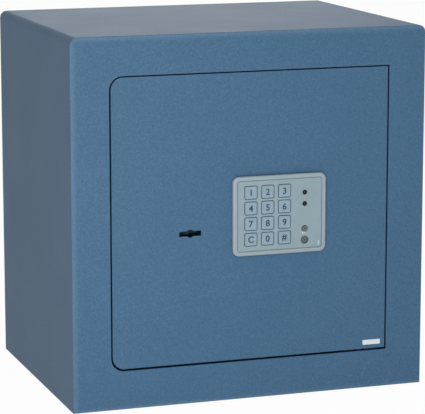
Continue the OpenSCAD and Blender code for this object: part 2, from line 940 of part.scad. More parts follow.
// Flat ribbon from the keypad through the door to the control board
module keypad_ribbon() {
    color(SHELL) along_x(cable_x - ribbon_w / 2, cable_x + ribbon_w / 2) {
        slab(pad_base, ribbon_turn_y, cable_z - ribbon_t / 2, cable_z + ribbon_t / 2);
        slab(ribbon_turn_y - ribbon_t, ribbon_turn_y, cable_z - ribbon_t / 2,
             board_z - board_h / 2 + board_in);
        slab(ribbon_turn_y - ribbon_t, board_y0, board_z - board_h / 2 + board_in - ribbon_t,
             board_z - board_h / 2 + board_in);
    }
}

// Open tray of the batteries, behind the opening in the cover
module battery_tray() {
    color(BLACK) difference() {
        along_y(tray_y0, cover_in_y)
            slab(tray_x - tray_hw, tray_x + tray_hw, tray_z - tray_hh, tray_z + tray_hh);
        along_y(tray_y0 + tray_wall, cover_in_y + past)
            slab(tray_x - tray_hw + tray_wall, tray_x + tray_hw - tray_wall,
                 tray_z - tray_hh + tray_wall, tray_z + tray_hh - tray_wall);
    }
}

// Height of a battery cell in the tray
function cell_z(i) = tray_z + (i - (cell_count - 1) / 2) * (cell_d + cell_gap);

// Battery cells, side by side and turned end for end
module battery_cells() {
    color(STEEL) for (i = [0:cell_count - 1])
        translate([tray_x, cell_y, cell_z(i)]) rotate([0, i % 2 == 0 ? 90 : -90, 0]) {
            translate([0, 0, -cell_l / 2]) cylinder(h = cell_l - cell_nub_l, d = cell_d);
            translate([0, 0, cell_l / 2 - 2 * cell_nub_l]) cylinder(h = 2 * cell_nub_l, d = cell_nub_d);
        }
}

// Contacts on both ends of the tray: a flat plate with a stud, or with a spring
module battery_contacts() {
    wall_x = tray_hw - tray_wall;
    color(STEEL) for (i = [0:cell_count - 1])
        translate([tray_x, cell_y, cell_z(i)]) rotate([0, i % 2 == 0 ? 90 : -90, 0])
            for (end = [-1, 1])
                rotate([0, end * 90 - 90, 0]) {
                    translate([0, 0, wall_x - contact_t]) cylinder(h = contact_t, r = contact_r);
                    translate([0, 0, cell_l / 2 + contact_gap])
                        cylinder(h = wall_x - cell_l / 2 - contact_gap,
                                 r1 = end > 0 ? cell_nub_d / 2 : contact_r / 2,
                                 r2 = end > 0 ? cell_nub_d / 2 : contact_r * 0.9);
                }
}

// Lid over the batteries, which slides sideways in its rails
module battery_cover() {
    color(SHELL) {
        along_y(lid_y0, lid_y0 + lid_t)
            slab(tray_x - lid_hw, tray_x + lid_hw, tray_z - lid_hh, tray_z + lid_hh);
        for (i = [0:grip_count - 1])
            along_y(lid_y0 + lid_t - past / 2, lid_y0 + lid_t + grip_out)
                slab(tray_x + lid_hw - grip_in - i * grip_pitch - grip_w,
                     tray_x + lid_hw - grip_in - i * grip_pitch,
                     tray_z - grip_l / 2, tray_z + grip_l / 2);
    }
}

// Body of the reset switch, with its collar outside and its nut inside the cover
module reset_switch() {
    color(BLACK) difference() {
        union() {
            bar_y(reset_x, reset_z, cover_in_y - reset_body_l, cover_y + reset_collar, reset_d / 2);
            bar_y(reset_x, reset_z, cover_y, cover_y + reset_collar, reset_collar_d / 2);
            translate([reset_x, cover_in_y, reset_z]) rotate([90, 0, 0])
                cylinder(h = reset_nut_t, d = reset_nut_d, $fn = 6);
        }
        bar_y(reset_x, reset_z, cover_y - reset_well, cover_y + reset_collar + past,
              reset_cap_d / 2 + run_clear);
    }
}

// Cap of the reset switch
module reset_button() {
    color("firebrick")
        bar_y(reset_x, reset_z, cover_y - reset_well + reset_travel + side_clear,
              cover_y + reset_collar + reset_proud, reset_cap_d / 2);
}

// Bar that joins the bolts
module bolt_bar() {
    color(STEEL) difference() {
        translate([bar_x0, bolt_y - bar_hw, bolt_zs[0] - bar_over])
            cube([bar_t, 2 * bar_hw, bolt_pitch + 2 * bar_over]);
        for (z = concat(bolt_zs, [rack_mid - foot_screw, rack_mid + foot_screw]))
            bar_x(bolt_y, z, bar_x0 - past, bar_x1 + past, screw_d / 2 + hole_clear);
    }
}

// Rack on the bar, over the pinions of the key barrel and the motor
module drive_rack() {
    color(STEEL) difference() {
        union() {
            along_y(bolt_y - rack_t / 2, bolt_y + rack_t / 2)
                rack_outline(bar_x1 + foot_t / 2, rack_end_x);
            translate([bar_x1, bolt_y - foot_hw, rack_mid - foot_hh])
                cube([foot_t, 2 * foot_hw, 2 * foot_hh]);
        }
        for (side = [-1, 1])
            bar_x(bolt_y, rack_mid + side * foot_screw, bar_x1 - past, bar_x1 + foot_t + past,
                  screw_d / 2 + hole_clear);
    }
}

// Locking bolt with a chamfered nose and a tapped rear end
module locking_bolt(z) {
    color(STEEL) difference() {
        union() {
            bar_x(bolt_y, z, bolt_tip_x + bolt_nose, bar_x0, bolt_d / 2);
            translate([bolt_tip_x, bolt_y, z]) rotate([0, 90, 0])
                cylinder(h = bolt_nose, r1 = bolt_d / 2 - bolt_nose, r2 = bolt_d / 2);
        }
        bar_x(bolt_y, z, bar_x0 - pilot_l, bar_x0 + past, screw_d / 2 + run_clear);
    }
}

module upper_bolt() {
    locking_bolt(bolt_zs[1]);
}

module lower_bolt() {
    locking_bolt(bolt_zs[0]);
}

// Screw along X, its head against a face that looks right
module screw_x(z, face_x, length) {
    bar_x(bolt_y, z, face_x - length, face_x + head_h / 2, screw_d / 2);
    bar_x(bolt_y, z, face_x, face_x + head_h, head_d / 2);
}

// Screws that hold the bolts and the rack to the bar
module bolt_screws() {
    color(STEEL) {
        for (z = bolt_zs)
            screw_x(z, bar_x1, bar_t + pilot_l - pilot_room);
        for (side = [-1, 1])
            screw_x(rack_mid + side * foot_screw, bar_x1 + foot_t, bar_t + foot_t);
    }
}

// Solid of the keypad's outside: sides that draw in towards the door, a straight band round the rim,
// and a front edge rounded in steps of an arc
module pad_outside() {
    hull() {
        along_y(pad_base - pad_foot, pad_base) pad_outline(pad_draw);
        along_y(pad_face + pad_edge, pad_face + pad_edge + pad_band) pad_outline(0);
        for (turn = [0:22.5:67.5])
            along_y(pad_face + pad_edge * (1 - cos(turn)), pad_face + pad_edge)
                pad_outline(pad_edge * (1 - sin(turn)));
    }
}

// Outline of the keypad, drawn in by some amount
module pad_outline(inset) {
    round_slab(keypad_x - pad_hw + inset, keypad_x + pad_hw - inset,
               keypad_z - pad_hh + inset, keypad_z + pad_hh - inset,
               max(keypad_r - inset, 1), $fn = 32);
}

// Places of the four bosses of the keypad
module at_bosses() {
    for (sx = [-1, 1], sz = [-1, 1])
        translate([keypad_x + sx * boss_x, 0, keypad_z + sz * boss_z]) children();
}

// Shell of the keypad: rim, walls and screw bosses, open at the back
module keypad_housing() {
    color(SHELL) difference() {
        union() {
            difference() {
                pad_outside();
                along_y(pad_face - past, pad_base + past) pad_outline(rim_w);
                along_y(panel_y0, pad_base + past) pad_outline(pad_wall);
            }
            intersection() {
                at_bosses() bar_y(0, 0, panel_y1, pad_base, boss_d / 2);
                along_y(panel_y1, pad_base) pad_outline(pad_wall / 2);
            }
        }
        at_bosses() bar_y(0, 0, door_y - pad_screw_l - past, pad_base + past,
                          pad_screw_d / 2 + run_clear);
    }
}

// Places of the keys: column and row count from the upper left
function key_x(column) = key_first_x + column * key_pitch_x;
function key_z(row) = keypad_z + ((key_rows - 1) / 2 - row) * key_pitch_z;

// Front panel with a groove along the rim and the windows of the keys, lights and contacts
module keypad_panel() {
    color(PANEL) difference() {
        along_y(panel_y0, panel_y1) panel_profile();
        along_y(panel_y0 - past, panel_y0 + panel_groove_d) difference() {
            pad_outline(rim_w);
            pad_outline(rim_w + panel_groove_w);
        }
    }
}

// Outline of the front panel with its windows
module panel_profile() {
    difference() {
        pad_outline(pad_wall + side_clear);
        for (column = [0:key_cols - 1], row = [0:key_rows - 1])
            translate([key_x(column), key_z(row)])
                round_slab(-key_side / 2 - key_gap, key_side / 2 + key_gap,
                           -key_side / 2 - key_gap, key_side / 2 + key_gap, key_r + key_gap);
        for (side = [-1, 1])
            translate([column_x, light_z + side * light_pitch / 2])
                circle(light_d / 2 + side_clear);
        translate([column_x, contact_z + contact_pitch / 2]) circle(stud_d / 2 + side_clear);
        translate([column_x, contact_z - contact_pitch / 2]) circle(socket_d / 2 + side_clear);
    }
}

// Foam gasket between the keypad and the door
module keypad_gasket() {
    color(BLACK) along_y(pad_base, front_y) difference() {
        pad_outline(gasket_in);
        translate([cable_x, cable_z]) circle(d = cable_d);
        for (sx = [-1, 1], sz = [-1, 1])
            translate([keypad_x + sx * boss_x, keypad_z + sz * boss_z])
                circle(pad_screw_d / 2 + hole_clear);
    }
}

// Board of the keypad, between the bosses
module keypad_board() {
    half = boss_x - boss_d / 2 - side_clear;
    color(BOARD) along_y(pad_board_y0, pad_base)
        slab(keypad_x - half, keypad_x + half,
             keypad_z - pad_hh + pad_wall + side_clear, keypad_z + pad_hh - pad_wall - side_clear);
}

// Rubber mat under the keys
module key_mat() {
    reach = key_side / 2 + key_skirt;
    color(FELT) along_y(key_mat_y0, pad_board_y0)
        slab(key_x(0) - reach, key_x(key_cols - 1) + reach,
             key_z(key_rows - 1) - reach, key_z(0) + reach);
}

// Screws from the back of the door into the keypad's bosses
module keypad_screws() {
    color(STEEL) at_bosses() {
        bar_y(0, 0, door_y - pad_screw_l, door_y + head_h / 2, pad_screw_d / 2);
        bar_y(0, 0, door_y, door_y + head_h, pad_screw_d);
    }
}

// Two round status lights with domed ends
module status_lights() {
    r = light_d / 2;
    color(BLACK) for (side = [-1, 1])
        translate([column_x, panel_y0 - light_out + r, light_z + side * light_pitch / 2]) {
            sphere(r);
            bar_y(0, 0, 0, pad_board_y0 - panel_y0 + light_out - r, r);
        }
}

// Outside battery contact with a post
module contact_stud() {
    color(STEEL) translate([column_x, 0, contact_z + contact_pitch / 2]) {
        bar_y(0, 0, panel_y0 - contact_out, pad_board_y0, stud_d / 2);
        bar_y(0, 0, panel_y0 - 2 * contact_out, pad_board_y0, stud_post_d / 2);
    }
}

// Outside battery contact with a ring and a middle
module contact_socket() {
    color(STEEL) translate([column_x, 0, contact_z - contact_pitch / 2]) difference() {
        bar_y(0, 0, panel_y0 - contact_out, pad_board_y0, socket_d / 2);
        difference() {
            bar_y(0, 0, panel_y0 - contact_out - past, panel_y0 + contact_out, socket_d / 2 - socket_ring);
            bar_y(0, 0, panel_y0 - contact_out - 2 * past, panel_y0 + 2 * contact_out, socket_pin_d / 2);
        }
    }
}

// Key with a skirt behind the panel
module key_cap(column, row) {
    color(KEY) translate([key_x(column), 0, key_z(row)]) {
        along_y(key_y0, skirt_y0 + key_skirt_t)
            round_slab(-key_side / 2, key_side / 2, -key_side / 2, key_side / 2, key_r);
        along_y(skirt_y0, skirt_y0 + key_skirt_t)
            round_slab(-key_side / 2 - key_skirt, key_side / 2 + key_skirt,
                       -key_side / 2 - key_skirt, key_side / 2 + key_skirt, key_r);
    }
}

body_wrap();
base_plate();
back_plate();
front_frame();
bolt_keeper();
upper_hinge_bracket();
lower_hinge_bracket();
thrust_washer();
floor_mat();
door_plate();
hinge_lugs();
hinge_pins();
dead_bar();
bolt_guide();
inner_cover();
cover_posts();
cover_screws();
key_lock_case();
lock_case_screws();
key_barrel();
motor_gearbox();
lock_motor();
motor_strap();
motor_pinion();
control_board();
board_parts();
board_spacers();
keypad_ribbon();
battery_tray();
battery_cells();
battery_contacts();
battery_cover();
reset_switch();
reset_button();
bolt_bar();
drive_rack();
upper_bolt();
lower_bolt();
bolt_screws();
keypad_housing();
keypad_panel();
keypad_gasket();
keypad_board();
key_mat();
keypad_screws();
status_lights();
contact_stud();
contact_socket();
for (i = [0:len(KEYS) - 1])
    key_cap(i % key_cols, floor(i / key_cols));
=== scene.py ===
"""Dresses the in room safe: grained paint, keypad signs, felt mat, screws, studio and camera."""

import logging
import math
from collections.abc import Callable
from dataclasses import dataclass
from enum import Enum

import bmesh
import bpy
from mathutils import Matrix, Vector
from mathutils.geometry import delaunay_2d_cdt


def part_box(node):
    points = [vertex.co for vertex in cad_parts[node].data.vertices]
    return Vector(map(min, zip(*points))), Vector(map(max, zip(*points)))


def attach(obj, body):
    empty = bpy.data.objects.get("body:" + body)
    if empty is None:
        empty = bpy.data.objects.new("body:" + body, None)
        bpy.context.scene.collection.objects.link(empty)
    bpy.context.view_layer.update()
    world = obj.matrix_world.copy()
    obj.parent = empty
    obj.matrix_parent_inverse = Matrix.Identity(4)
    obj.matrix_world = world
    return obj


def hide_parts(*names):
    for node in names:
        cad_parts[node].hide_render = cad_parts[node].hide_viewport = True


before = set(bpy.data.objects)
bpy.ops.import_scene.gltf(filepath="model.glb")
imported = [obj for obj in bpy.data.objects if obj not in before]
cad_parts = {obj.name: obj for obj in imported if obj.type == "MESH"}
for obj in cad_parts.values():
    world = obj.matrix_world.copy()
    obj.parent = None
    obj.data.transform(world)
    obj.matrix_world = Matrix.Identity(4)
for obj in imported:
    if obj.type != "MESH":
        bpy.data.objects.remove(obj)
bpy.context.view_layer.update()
LOG = logging.getLogger("safe")
MM = 0.001
PURE_WHITE = (1.0, 1.0, 1.0, 1.0)
# Points that are nearer to each other than this are one point
MERGE = 0.001 * MM
# A point that is nearer to a face than this lies on it
ON_FACE = 0.01 * MM
# An edge that is nearer to a plate's outside than this is an outer edge
EDGE_BAND = 20 * MM
# Two faces that meet at more than this angle have a sharp edge
SHARP = math.radians(35)


def linear(code: str) -> tuple[float, float, float, float]:
    """Turns a screen colour into linear light.

    Args:
        code: The colour as a hex code, such as #507190.

    Returns:
        Red, green, blue and alpha, from 0 to 1.
    """
    levels = [int(code[i:i + 2], 16) / 255 for i in (1, 3, 5)]
    red, green, blue = (v / 12.92 if v <= 0.04045 else ((v + 0.055) / 1.055) ** 2.4 for v in levels)
    return red, green, blue, 1.0


def middle(node: str) -> tuple[float, ...]:
    """Gives the middle of a CAD node's box."""
    return tuple((a + b) / 2 for a, b in zip(*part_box(node)))


def edge_distance(point: Vector, box: tuple) -> float:
    """Gives how far a point lies inside a box's nearest side, seen from the front."""
    low, high = box
    return min(point.x - low[0], high[0] - point.x, point.z - low[2], high[2] - point.z)


def place_object(name: str, data: bpy.types.ID) -> bpy.types.Object:
    """Adds an object to the scene.

    Args:
        name: The object's name.
        data: Its mesh, text, lamp or camera.

    Returns:
        The object.
    """
    placed = bpy.data.objects.new(name, data)
    bpy.context.scene.collection.objects.link(placed)
    return placed


def plain_mesh(holder: bpy.types.Object) -> bpy.types.Mesh:
    """Works out an object's shape, and takes the object away with its modifiers.

    Args:
        holder: The object.

    Returns:
        Its shape as a plain mesh.
    """
    dependencies = bpy.context.evaluated_depsgraph_get()
    mesh = bpy.data.meshes.new_from_object(holder.evaluated_get(dependencies), depsgraph=dependencies)
    holder.modifiers.clear()
    bpy.data.objects.remove(holder)
    return mesh


def closed_mesh(name: str, shape: bmesh.types.BMesh) -> bpy.types.Mesh:
    """Turns a shape into a mesh and frees it.

    Args:
        name: The mesh's name.
        shape: The shape.

    Returns:
        The mesh.
    """
    mesh = bpy.data.meshes.new(name)
    shape.to_mesh(mesh)
    shape.free()
    return mesh


class Signal:
    """Output of a node, which arithmetic extends with Math nodes."""

    def __init__(self, graph: "NodeGraph", socket: bpy.types.NodeSocket) -> None:
        """Keeps the graph and the socket."""
        self.graph = graph
        self.socket = socket

    def math(self, operation: str, first: "Signal | float", second: "Signal | float") -> "Signal":
        """Gives the output of a Math node for that operation on two values."""
        return self.graph.value("ShaderNodeMath", {"operation": operation}, {0: first, 1: second})

    def __add__(self, other: "Signal | float") -> "Signal":
        """Gives self + other."""
        return self.math("ADD", self, other)

    def __sub__(self, other: "Signal | float") -> "Signal":
        """Gives self - other."""
        return self.math("SUBTRACT", self, other)

    def __rsub__(self, other: float) -> "Signal":
        """Gives other - self."""
        return self.math("SUBTRACT", other, self)

    def __mul__(self, other: "Signal | float") -> "Signal":
        """Gives self * other."""
        return self.math("MULTIPLY", self, other)

    __radd__ = __add__
    __rmul__ = __mul__


class NodeGraph:
    """A node tree that is filled through one method."""

    def __init__(self, tree: bpy.types.NodeTree) -> None:
        """Keeps the tree."""
        self.tree = tree

    def add(self, kind: str, settings: dict | None = None, inputs: dict | None = None) -> bpy.types.Node:
        """Adds a node.

        Args:
            kind: The node's type.
            settings: Its own settings by name, which are set first.
            inputs: Values or signals by the socket's name or number.

        Returns:
            The node.
        """
        node = self.tree.nodes.new(kind)
        for name, setting in (settings or {}).items():
            setattr(node, name, setting)
        for key, given in (inputs or {}).items():
            for one in given if isinstance(given, list) else [given]:
                if isinstance(one, Signal):
                    self.tree.links.new(one.socket, node.inputs[key])
                else:
                    node.inputs[key].default_value = one
        return node

    def value(
        self, kind: str, settings: dict | None = None, inputs: dict | None = None, output: int | str = 0
    ) -> Signal:
        """Adds a node, as add does, and gives its output of that name or number."""
        return Signal(self, self.add(kind, settings, inputs).outputs[output])


class ShaderGraph(NodeGraph):
    """Node tree of one material, on the piece's own coordinates.

    Attributes:
        FINER: Share of its strength that each finer layer of a noise keeps.
    """

    FINER = 0.55

    def __init__(self, name: str) -> None:
        """Makes an empty material.

        Args:
            name: The material's name.
        """
        self.material = bpy.data.materials.new(name)
        self.material.use_nodes = True
        super().__init__(self.material.node_tree)
        self.tree.nodes.clear()
        self.place = self.value("ShaderNodeTexCoord", output="Object")

    def grain(self, size: float, detail: float = 2.0, stretch: tuple = (1.0, 1.0, 1.0)) -> Signal:
        """Adds noise.

        Args:
            size: About the size of its features, in metres.
            detail: How many finer layers it has.
            stretch: How often it repeats along each axis, where 1 is as often as size says.

        Returns:
            The noise, from 0 to 1 with 0.5 in the middle.
        """
        place = self.value("ShaderNodeMapping", {}, {"Vector": self.place, "Scale": stretch})
        inputs = {"Vector": place, "Scale": 1 / size, "Detail": detail, "Roughness": self.FINER}
        return self.value("ShaderNodeTexNoise", {}, inputs)

    def along(self, axis: str) -> Signal:
        """Gives the place along one axis, X, Y or Z, in metres."""
        return self.value("ShaderNodeSeparateXYZ", {}, {"Vector": self.place}, axis)

    def rise(self, signal: Signal, low: float, high: float) -> Signal:
        """Gives a smooth step from 0 at low to 1 at high."""
        settings = {"interpolation_type": "SMOOTHSTEP"}
        return self.value("ShaderNodeMapRange", settings, {0: signal, 1: low, 2: high})

    def blend(self, share: Signal, first: Signal | str, second: str) -> Signal:
        """Mixes two colours.

        Args:
            share: Share of the second colour, from 0 to 1.
            first: The one colour, as a signal or a hex code.
            second: The other one, as a hex code.

        Returns:
            The mixed colour.
        """
        start = linear(first) if isinstance(first, str) else first
        inputs = {0: share, 6: start, 7: linear(second)}
        return self.value("ShaderNodeMix", {"data_type": "RGBA"}, inputs, 2)

    def tint(self, surface: dict, share: Signal, colour: str) -> dict:
        """Gives a surface of which that share has another colour."""
        return surface | {"Base Color": self.blend(share, surface["Base Color"], colour)}

    def bump(self, height: Signal, depth: float, strength: float) -> Signal:
        """Turns a height, of which 1 is that depth in metres, into a normal."""
        inputs = {"Height": height, "Distance": depth, "Strength": strength}
        return self.value("ShaderNodeBump", {}, inputs)

    def close(self, surface: dict) -> None:
        """Ends the tree in a shader with those values or signals by its sockets' names."""
        shader = self.value("ShaderNodeBsdfPrincipled", {}, surface)
        self.add("ShaderNodeOutputMaterial", {}, {"Surface": shader})


class GeometryGraph(NodeGraph):
    """Geometry Nodes tree with named inputs, whose result becomes a plain mesh."""

    def __init__(self, name: str, sizes: dict) -> None:
        """Makes a tree with one input for each size.

        Args:
            name: The tree's name.
            sizes: The length or material of each input by its name.
        """
        super().__init__(bpy.data.node_groups.new(name, "GeometryNodeTree"))
        self.sizes = sizes
        self.identifiers: dict[str, str] = {}
        face = self.tree.interface
        face.new_socket("Geometry", in_out="INPUT", socket_type="NodeSocketGeometry")
        face.new_socket("Geometry", in_out="OUTPUT", socket_type="NodeSocketGeometry")
        for label, size in sizes.items():
            kind = "NodeSocketFloat" if isinstance(size, float) else "NodeSocketMaterial"
            self.identifiers[label] = face.new_socket(label, in_out="INPUT", socket_type=kind).identifier
        self.source = self.add("NodeGroupInput")

    def given(self, label: str) -> Signal:
        """Gives the tree's input of that name."""
        return Signal(self, self.source.outputs[label])

    def moved(self, geometry: Signal, shift: Signal | tuple, turn: tuple = (0.0, 0.0, 0.0)) -> Signal:
        """Turns geometry by angles in radians, and then shifts it by metres."""
        inputs = {"Geometry": geometry, "Translation": shift, "Rotation": turn}
        return self.value("GeometryNodeTransform", {}, inputs)

    def vector(self, **parts: Signal | float) -> Signal:
        """Gives a vector with those parts along X, Y and Z, and nothing along the others."""
        return self.value("ShaderNodeCombineXYZ", {}, parts)

    def bake(
        self, shape: Signal, points: bpy.types.Mesh, turn: Signal | tuple = (0.0, 0.0, 0.0)
    ) -> bpy.types.Mesh:
        """Ends the tree with a copy of a shape at each point, and works it out.

        Args:
            shape: The shape.
            points: A mesh with those points.
            turn: The angles in radians that each copy is turned by.

        Returns:
            The copies as one plain mesh.
        """
        placed = {"Points": self.given("Geometry"), "Instance": shape, "Rotation": turn}
        copies = self.value("GeometryNodeInstanceOnPoints", {}, placed)
        real = self.value("GeometryNodeRealizeInstances", {}, {"Geometry": copies})
        inputs = {"Geometry": real, "Material": self.given("Material")}
        dressed = self.value("GeometryNodeSetMaterial", {}, inputs)
        self.add("NodeGroupOutput", {}, {"Geometry": dressed})
        holder = place_object(self.tree.name, points)
        modifier = holder.modifiers.new("tree", "NODES")
        modifier.node_group = self.tree
        for label, size in self.sizes.items():
            modifier[self.identifiers[label]] = size
        return plain_mesh(holder)


class Axis(Enum):
    """Directions that marks run along, as the number of the axis."""

    X = 0
    Y = 1
    Z = 2
    NONE = None

    def stretch(self, share: float) -> tuple[float, ...]:
        """Gives how often a noise repeats along each axis: the given share along this one, else 1."""
        return tuple(share if number == self.value else 1.0 for number in range(3))


@dataclass(frozen=True)
class Finish:
    """Look that one or more pieces wear.

    Attributes:
        name: The material's name.
        colour: Its main colour.
    """

    name: str
    colour: str

    def material(self) -> bpy.types.Material:
        """Makes the finish's material on first use.

        Returns:
            The material.
        """
        found = bpy.data.materials.get(self.name)
        if found is None:
            graph = ShaderGraph(self.name)
            graph.close(self.shade(graph))
            found = graph.material
        return found

    def shade(self, graph: ShaderGraph) -> dict:
        """Builds the nodes.

        Args:
            graph: The material's tree.

        Returns:
            What the shader's sockets take, by name.
        """
        raise NotImplementedError


@dataclass(frozen=True)
class GrainedPaint(Finish):
    """Baked paint with a fine grain.

    Attributes:
        dark: Colour in the pits.
        pale: Colour on the tops.
        grain: Size of the grain in metres.
        mottle: Size of its larger spots.
        cloud: Size of its soft clouds.
        roughness: Mean roughness.
        gloss: Level of its reflections, where 0.5 is usual.
    """

    dark: str
    pale: str
    grain: float = 0.9 * MM
    mottle: float = 2.2 * MM
    cloud: float = 60 * MM
    roughness: float = 0.56
    gloss: float = 0.25

    def shade(self, graph: ShaderGraph) -> dict:
        """Builds the nodes.

        Args:
            graph: The material's tree.

        Returns:
            What the shader's sockets take, by name.
        """
        grain = graph.grain(self.grain, 3.0)
        mottle = graph.grain(self.mottle, 2.0)
        cloud = graph.grain(self.cloud, 1.0)
        height = 0.6 * grain + 0.4 * mottle
        tops = graph.rise(height, 0.5, 0.66)
        pits = 1 - graph.rise(height, 0.34, 0.5)
        body = graph.blend(tops * 0.55, self.colour, self.pale)
        colour = graph.blend(pits * 0.6 + 0.12 * cloud, body, self.dark)
        return {
            "Base Color": colour,
            "Roughness": self.roughness + 0.16 * (mottle - 0.5) + 0.06 * (cloud - 0.5),
            "Specular IOR Level": self.gloss,
            "Normal": graph.bump(height, 0.25 * MM, 0.45),
        }


@dataclass(frozen=True)
class GapShadePaint(GrainedPaint):
    """Grained paint with painted shade on the walls along the door gap.

    Attributes:
        wall: Colour of the painted shade on those walls.
        depth: Where they begin and end along Y, in metres.
        width: Where they begin and end along X.
        height: Where they begin and end along Z.
        fade: How far the one colour runs into the other.
    """

    wall: str = "#03305C"
    depth: tuple[float, float] = (0.0, 0.0)
    width: tuple[float, float] = (0.0, 0.0)
    height: tuple[float, float] = (0.0, 0.0)
    fade: float = 0.1 * MM

    def shade(self, graph: ShaderGraph) -> dict:
        """Builds the nodes.

        Args:
            graph: The material's tree.

        Returns:
            What the shader's sockets take, by name.
        """
        # Mask of the walls along the door gap, which get painted shade
        inside = 1.0
        for axis, (start, end) in (("X", self.width), ("Y", self.depth), ("Z", self.height)):
            along = graph.along(axis)
            begun = graph.rise(along, start, start + self.fade)
            ended = graph.rise(along, end - self.fade, end)
            inside = inside * (begun - ended)
        return graph.tint(super().shade(graph), inside, self.wall)


@dataclass(frozen=True)
class EdgeHighlightPaint(GapShadePaint):
    """Gap shade paint with a painted highlight along the outer edges of the front.

    Attributes:
        edge_highlight: Colour of the painted highlight.
        share: Share of the painted highlight along the edges.
        front: Where the front lies along Y, in metres.
        sides: Where the two side edges lie along X, each with the way to where its painted highlight
            ends.
        ends: The same along Z for the lower and the upper edge.
        rim: How far behind the front the painted highlight begins to fade, and where it ends.
        patch: Size of its lighter and darker patches.
    """

    edge_highlight: str = "#7E96AA"
    share: float = 0.24
    front: float = 0.0
    sides: tuple[tuple[float, float], ...] = ()
    ends: tuple[tuple[float, float], ...] = ()
    rim: tuple[float, float] = (1 * MM, 2 * MM)
    patch: float = 4 * MM

    def shade(self, graph: ShaderGraph) -> dict:
        """Builds the nodes.

        Args:
            graph: The material's tree.

        Returns:
            What the shader's sockets take, by name.
        """
        # Painted highlight along the front's outer edges, wide at the left, the bottom and the top and
        # narrow at the right
        off_highlight = 1.0
        for axis, edges in (("X", self.sides), ("Z", self.ends)):
            along = graph.along(axis)
            for place, reach in edges:
                off_highlight = off_highlight * graph.rise(along, place, place + reach)
        on_front = 1 - graph.rise(graph.along("Y"), *(self.front + way for way in self.rim))
        patches = 0.6 + 0.8 * graph.grain(self.patch, 2.0)
        share = self.share * (1 - off_highlight) * on_front * patches
        return graph.tint(super().shade(graph), share, self.edge_highlight)


@dataclass(frozen=True)
class Metal(Finish):
    """Bare or plated metal with fine marks.

    Attributes:
        shade_colour: Colour of the duller spots.
        along: Direction of the marks.
        roughness: Mean roughness.
        mark: Width of the marks in metres.
        spot: Size of the duller spots.
        run: How often the marks repeat lengthways, where 1 is as often as across.
    """

    shade_colour: str
    along: Axis = Axis.NONE
    roughness: float = 0.32
    mark: float = 0.5 * MM
    spot: float = 9 * MM
    run: float = 0.04

    def shade(self, graph: ShaderGraph) -> dict:
        """Builds the nodes.

        Args:
            graph: The material's tree.

        Returns:
            What the shader's sockets take, by name.
        """
        marks = graph.grain(self.mark, 3.0, self.along.stretch(self.run))
        spots = graph.grain(self.spot, 3.0)
        share = 0.35 * marks + 0.55 * graph.rise(spots, 0.4, 0.7)
        return {
            "Base Color": graph.blend(share, self.colour, self.shade_colour),
            "Metallic": 1.0,
            "Roughness": self.roughness + 0.18 * (marks - 0.5) + 0.14 * (spots - 0.5),
            "Normal": graph.bump(marks, 0.05 * MM, 0.25),
        }


@dataclass(frozen=True)
class TurnedMetal(Finish):
    """Dull metal with the rings of a lathe round an axis along Y.

    Attributes:
        ring_colour: Colour of the grooves.
        centre: Where the axis crosses the XZ plane, in metres.
        pitch: Distance from ring to ring.
        roughness: Mean roughness.
        wear: Size of the worn spots.
    """

    ring_colour: str
    centre: tuple[float, float, float]
    pitch: float = 2.7 * MM
    roughness: float = 0.42
    wear: float = 0.7 * MM

    def shade(self, graph: ShaderGraph) -> dict:
        """Builds the nodes.

        Args:
            graph: The material's tree.

        Returns:
            What the shader's sockets take, by name.
        """
        kind = "ShaderNodeVectorMath"
        aside = graph.value(kind, {"operation": "SUBTRACT"}, {0: graph.place, 1: self.centre})
        flat = graph.value(kind, {"operation": "MULTIPLY"}, {0: aside, 1: (1.0, 0.0, 1.0)})
        radius = graph.value(kind, {"operation": "LENGTH"}, {0: flat}, "Value")
        wave = radius.math("SINE", radius * (math.tau / self.pitch), 0.0)
        rings = graph.rise(wave, -0.2, 0.8)
        wear = graph.grain(self.wear, 3.0)
        share = 0.7 * rings + 0.3 * wear
        return {
            "Base Color": graph.blend(share, self.colour, self.ring_colour),
            "Metallic": 0.75,
            "Roughness": self.roughness + 0.2 * (wear - 0.5),
            "Normal": graph.bump(wave, 0.08 * MM, 0.4),
        }


@dataclass(frozen=True)
class MouldedPlastic(Finish):
    """Moulded plastic with a fine spark grain.

    Attributes:
        dark: Colour in the pits.
        roughness: Mean roughness.
        grain: Size of the grain in metres.
        relief: Strength of the grain, from 0 to 1.
        gloss: Level of its reflections, where 0.5 is usual.
        flow: Size of the streaks where the plastic flowed.
    """

    dark: str
    roughness: float = 0.42
    grain: float = 0.35 * MM
    relief: float = 0.2
    gloss: float = 0.5
    flow: float = 14 * MM

    def shade(self, graph: ShaderGraph) -> dict:
        """Builds the nodes.

        Args:
            graph: The material's tree.

        Returns:
            What the shader's sockets take, by name.
        """
        grain = graph.grain(self.grain, 2.0)
        flow = graph.grain(self.flow, 2.0)
        share = 0.35 * graph.rise(grain, 0.45, 0.75) + 0.4 * graph.rise(flow, 0.35, 0.75)
        return {
            "Base Color": graph.blend(share, self.colour, self.dark),
            "Roughness": self.roughness + 0.1 * (grain - 0.5) + 0.12 * (flow - 0.5),
            "Specular IOR Level": self.gloss,
            "Normal": graph.bump(grain, 0.06 * MM, self.relief),
        }


@dataclass(frozen=True)
class PaintedSidesPlastic(MouldedPlastic):
    """Moulded plastic whose sides behind a step have a painted colour: painted shade on the keys,
    painted light on the keypad rim.

    Attributes:
        sides: Colour painted on the sides, darker than the front as painted shade on the keys.
        step: Where the sides begin along Y, in metres.
        fade: How far the one colour runs into the other.
    """

    sides: str = "#7A909C"
    step: float = 0.0
    fade: float = 0.05 * MM

    def shade(self, graph: ShaderGraph) -> dict:
        """Builds the nodes.

        Args:
            graph: The material's tree.

        Returns:
            What the shader's sockets take, by name.
        """
        # Mask of the sides behind the step, which get the painted colour of the sides
        behind = graph.rise(graph.along("Y"), self.step, self.step + self.fade)
        return graph.tint(super().shade(graph), behind, self.sides)


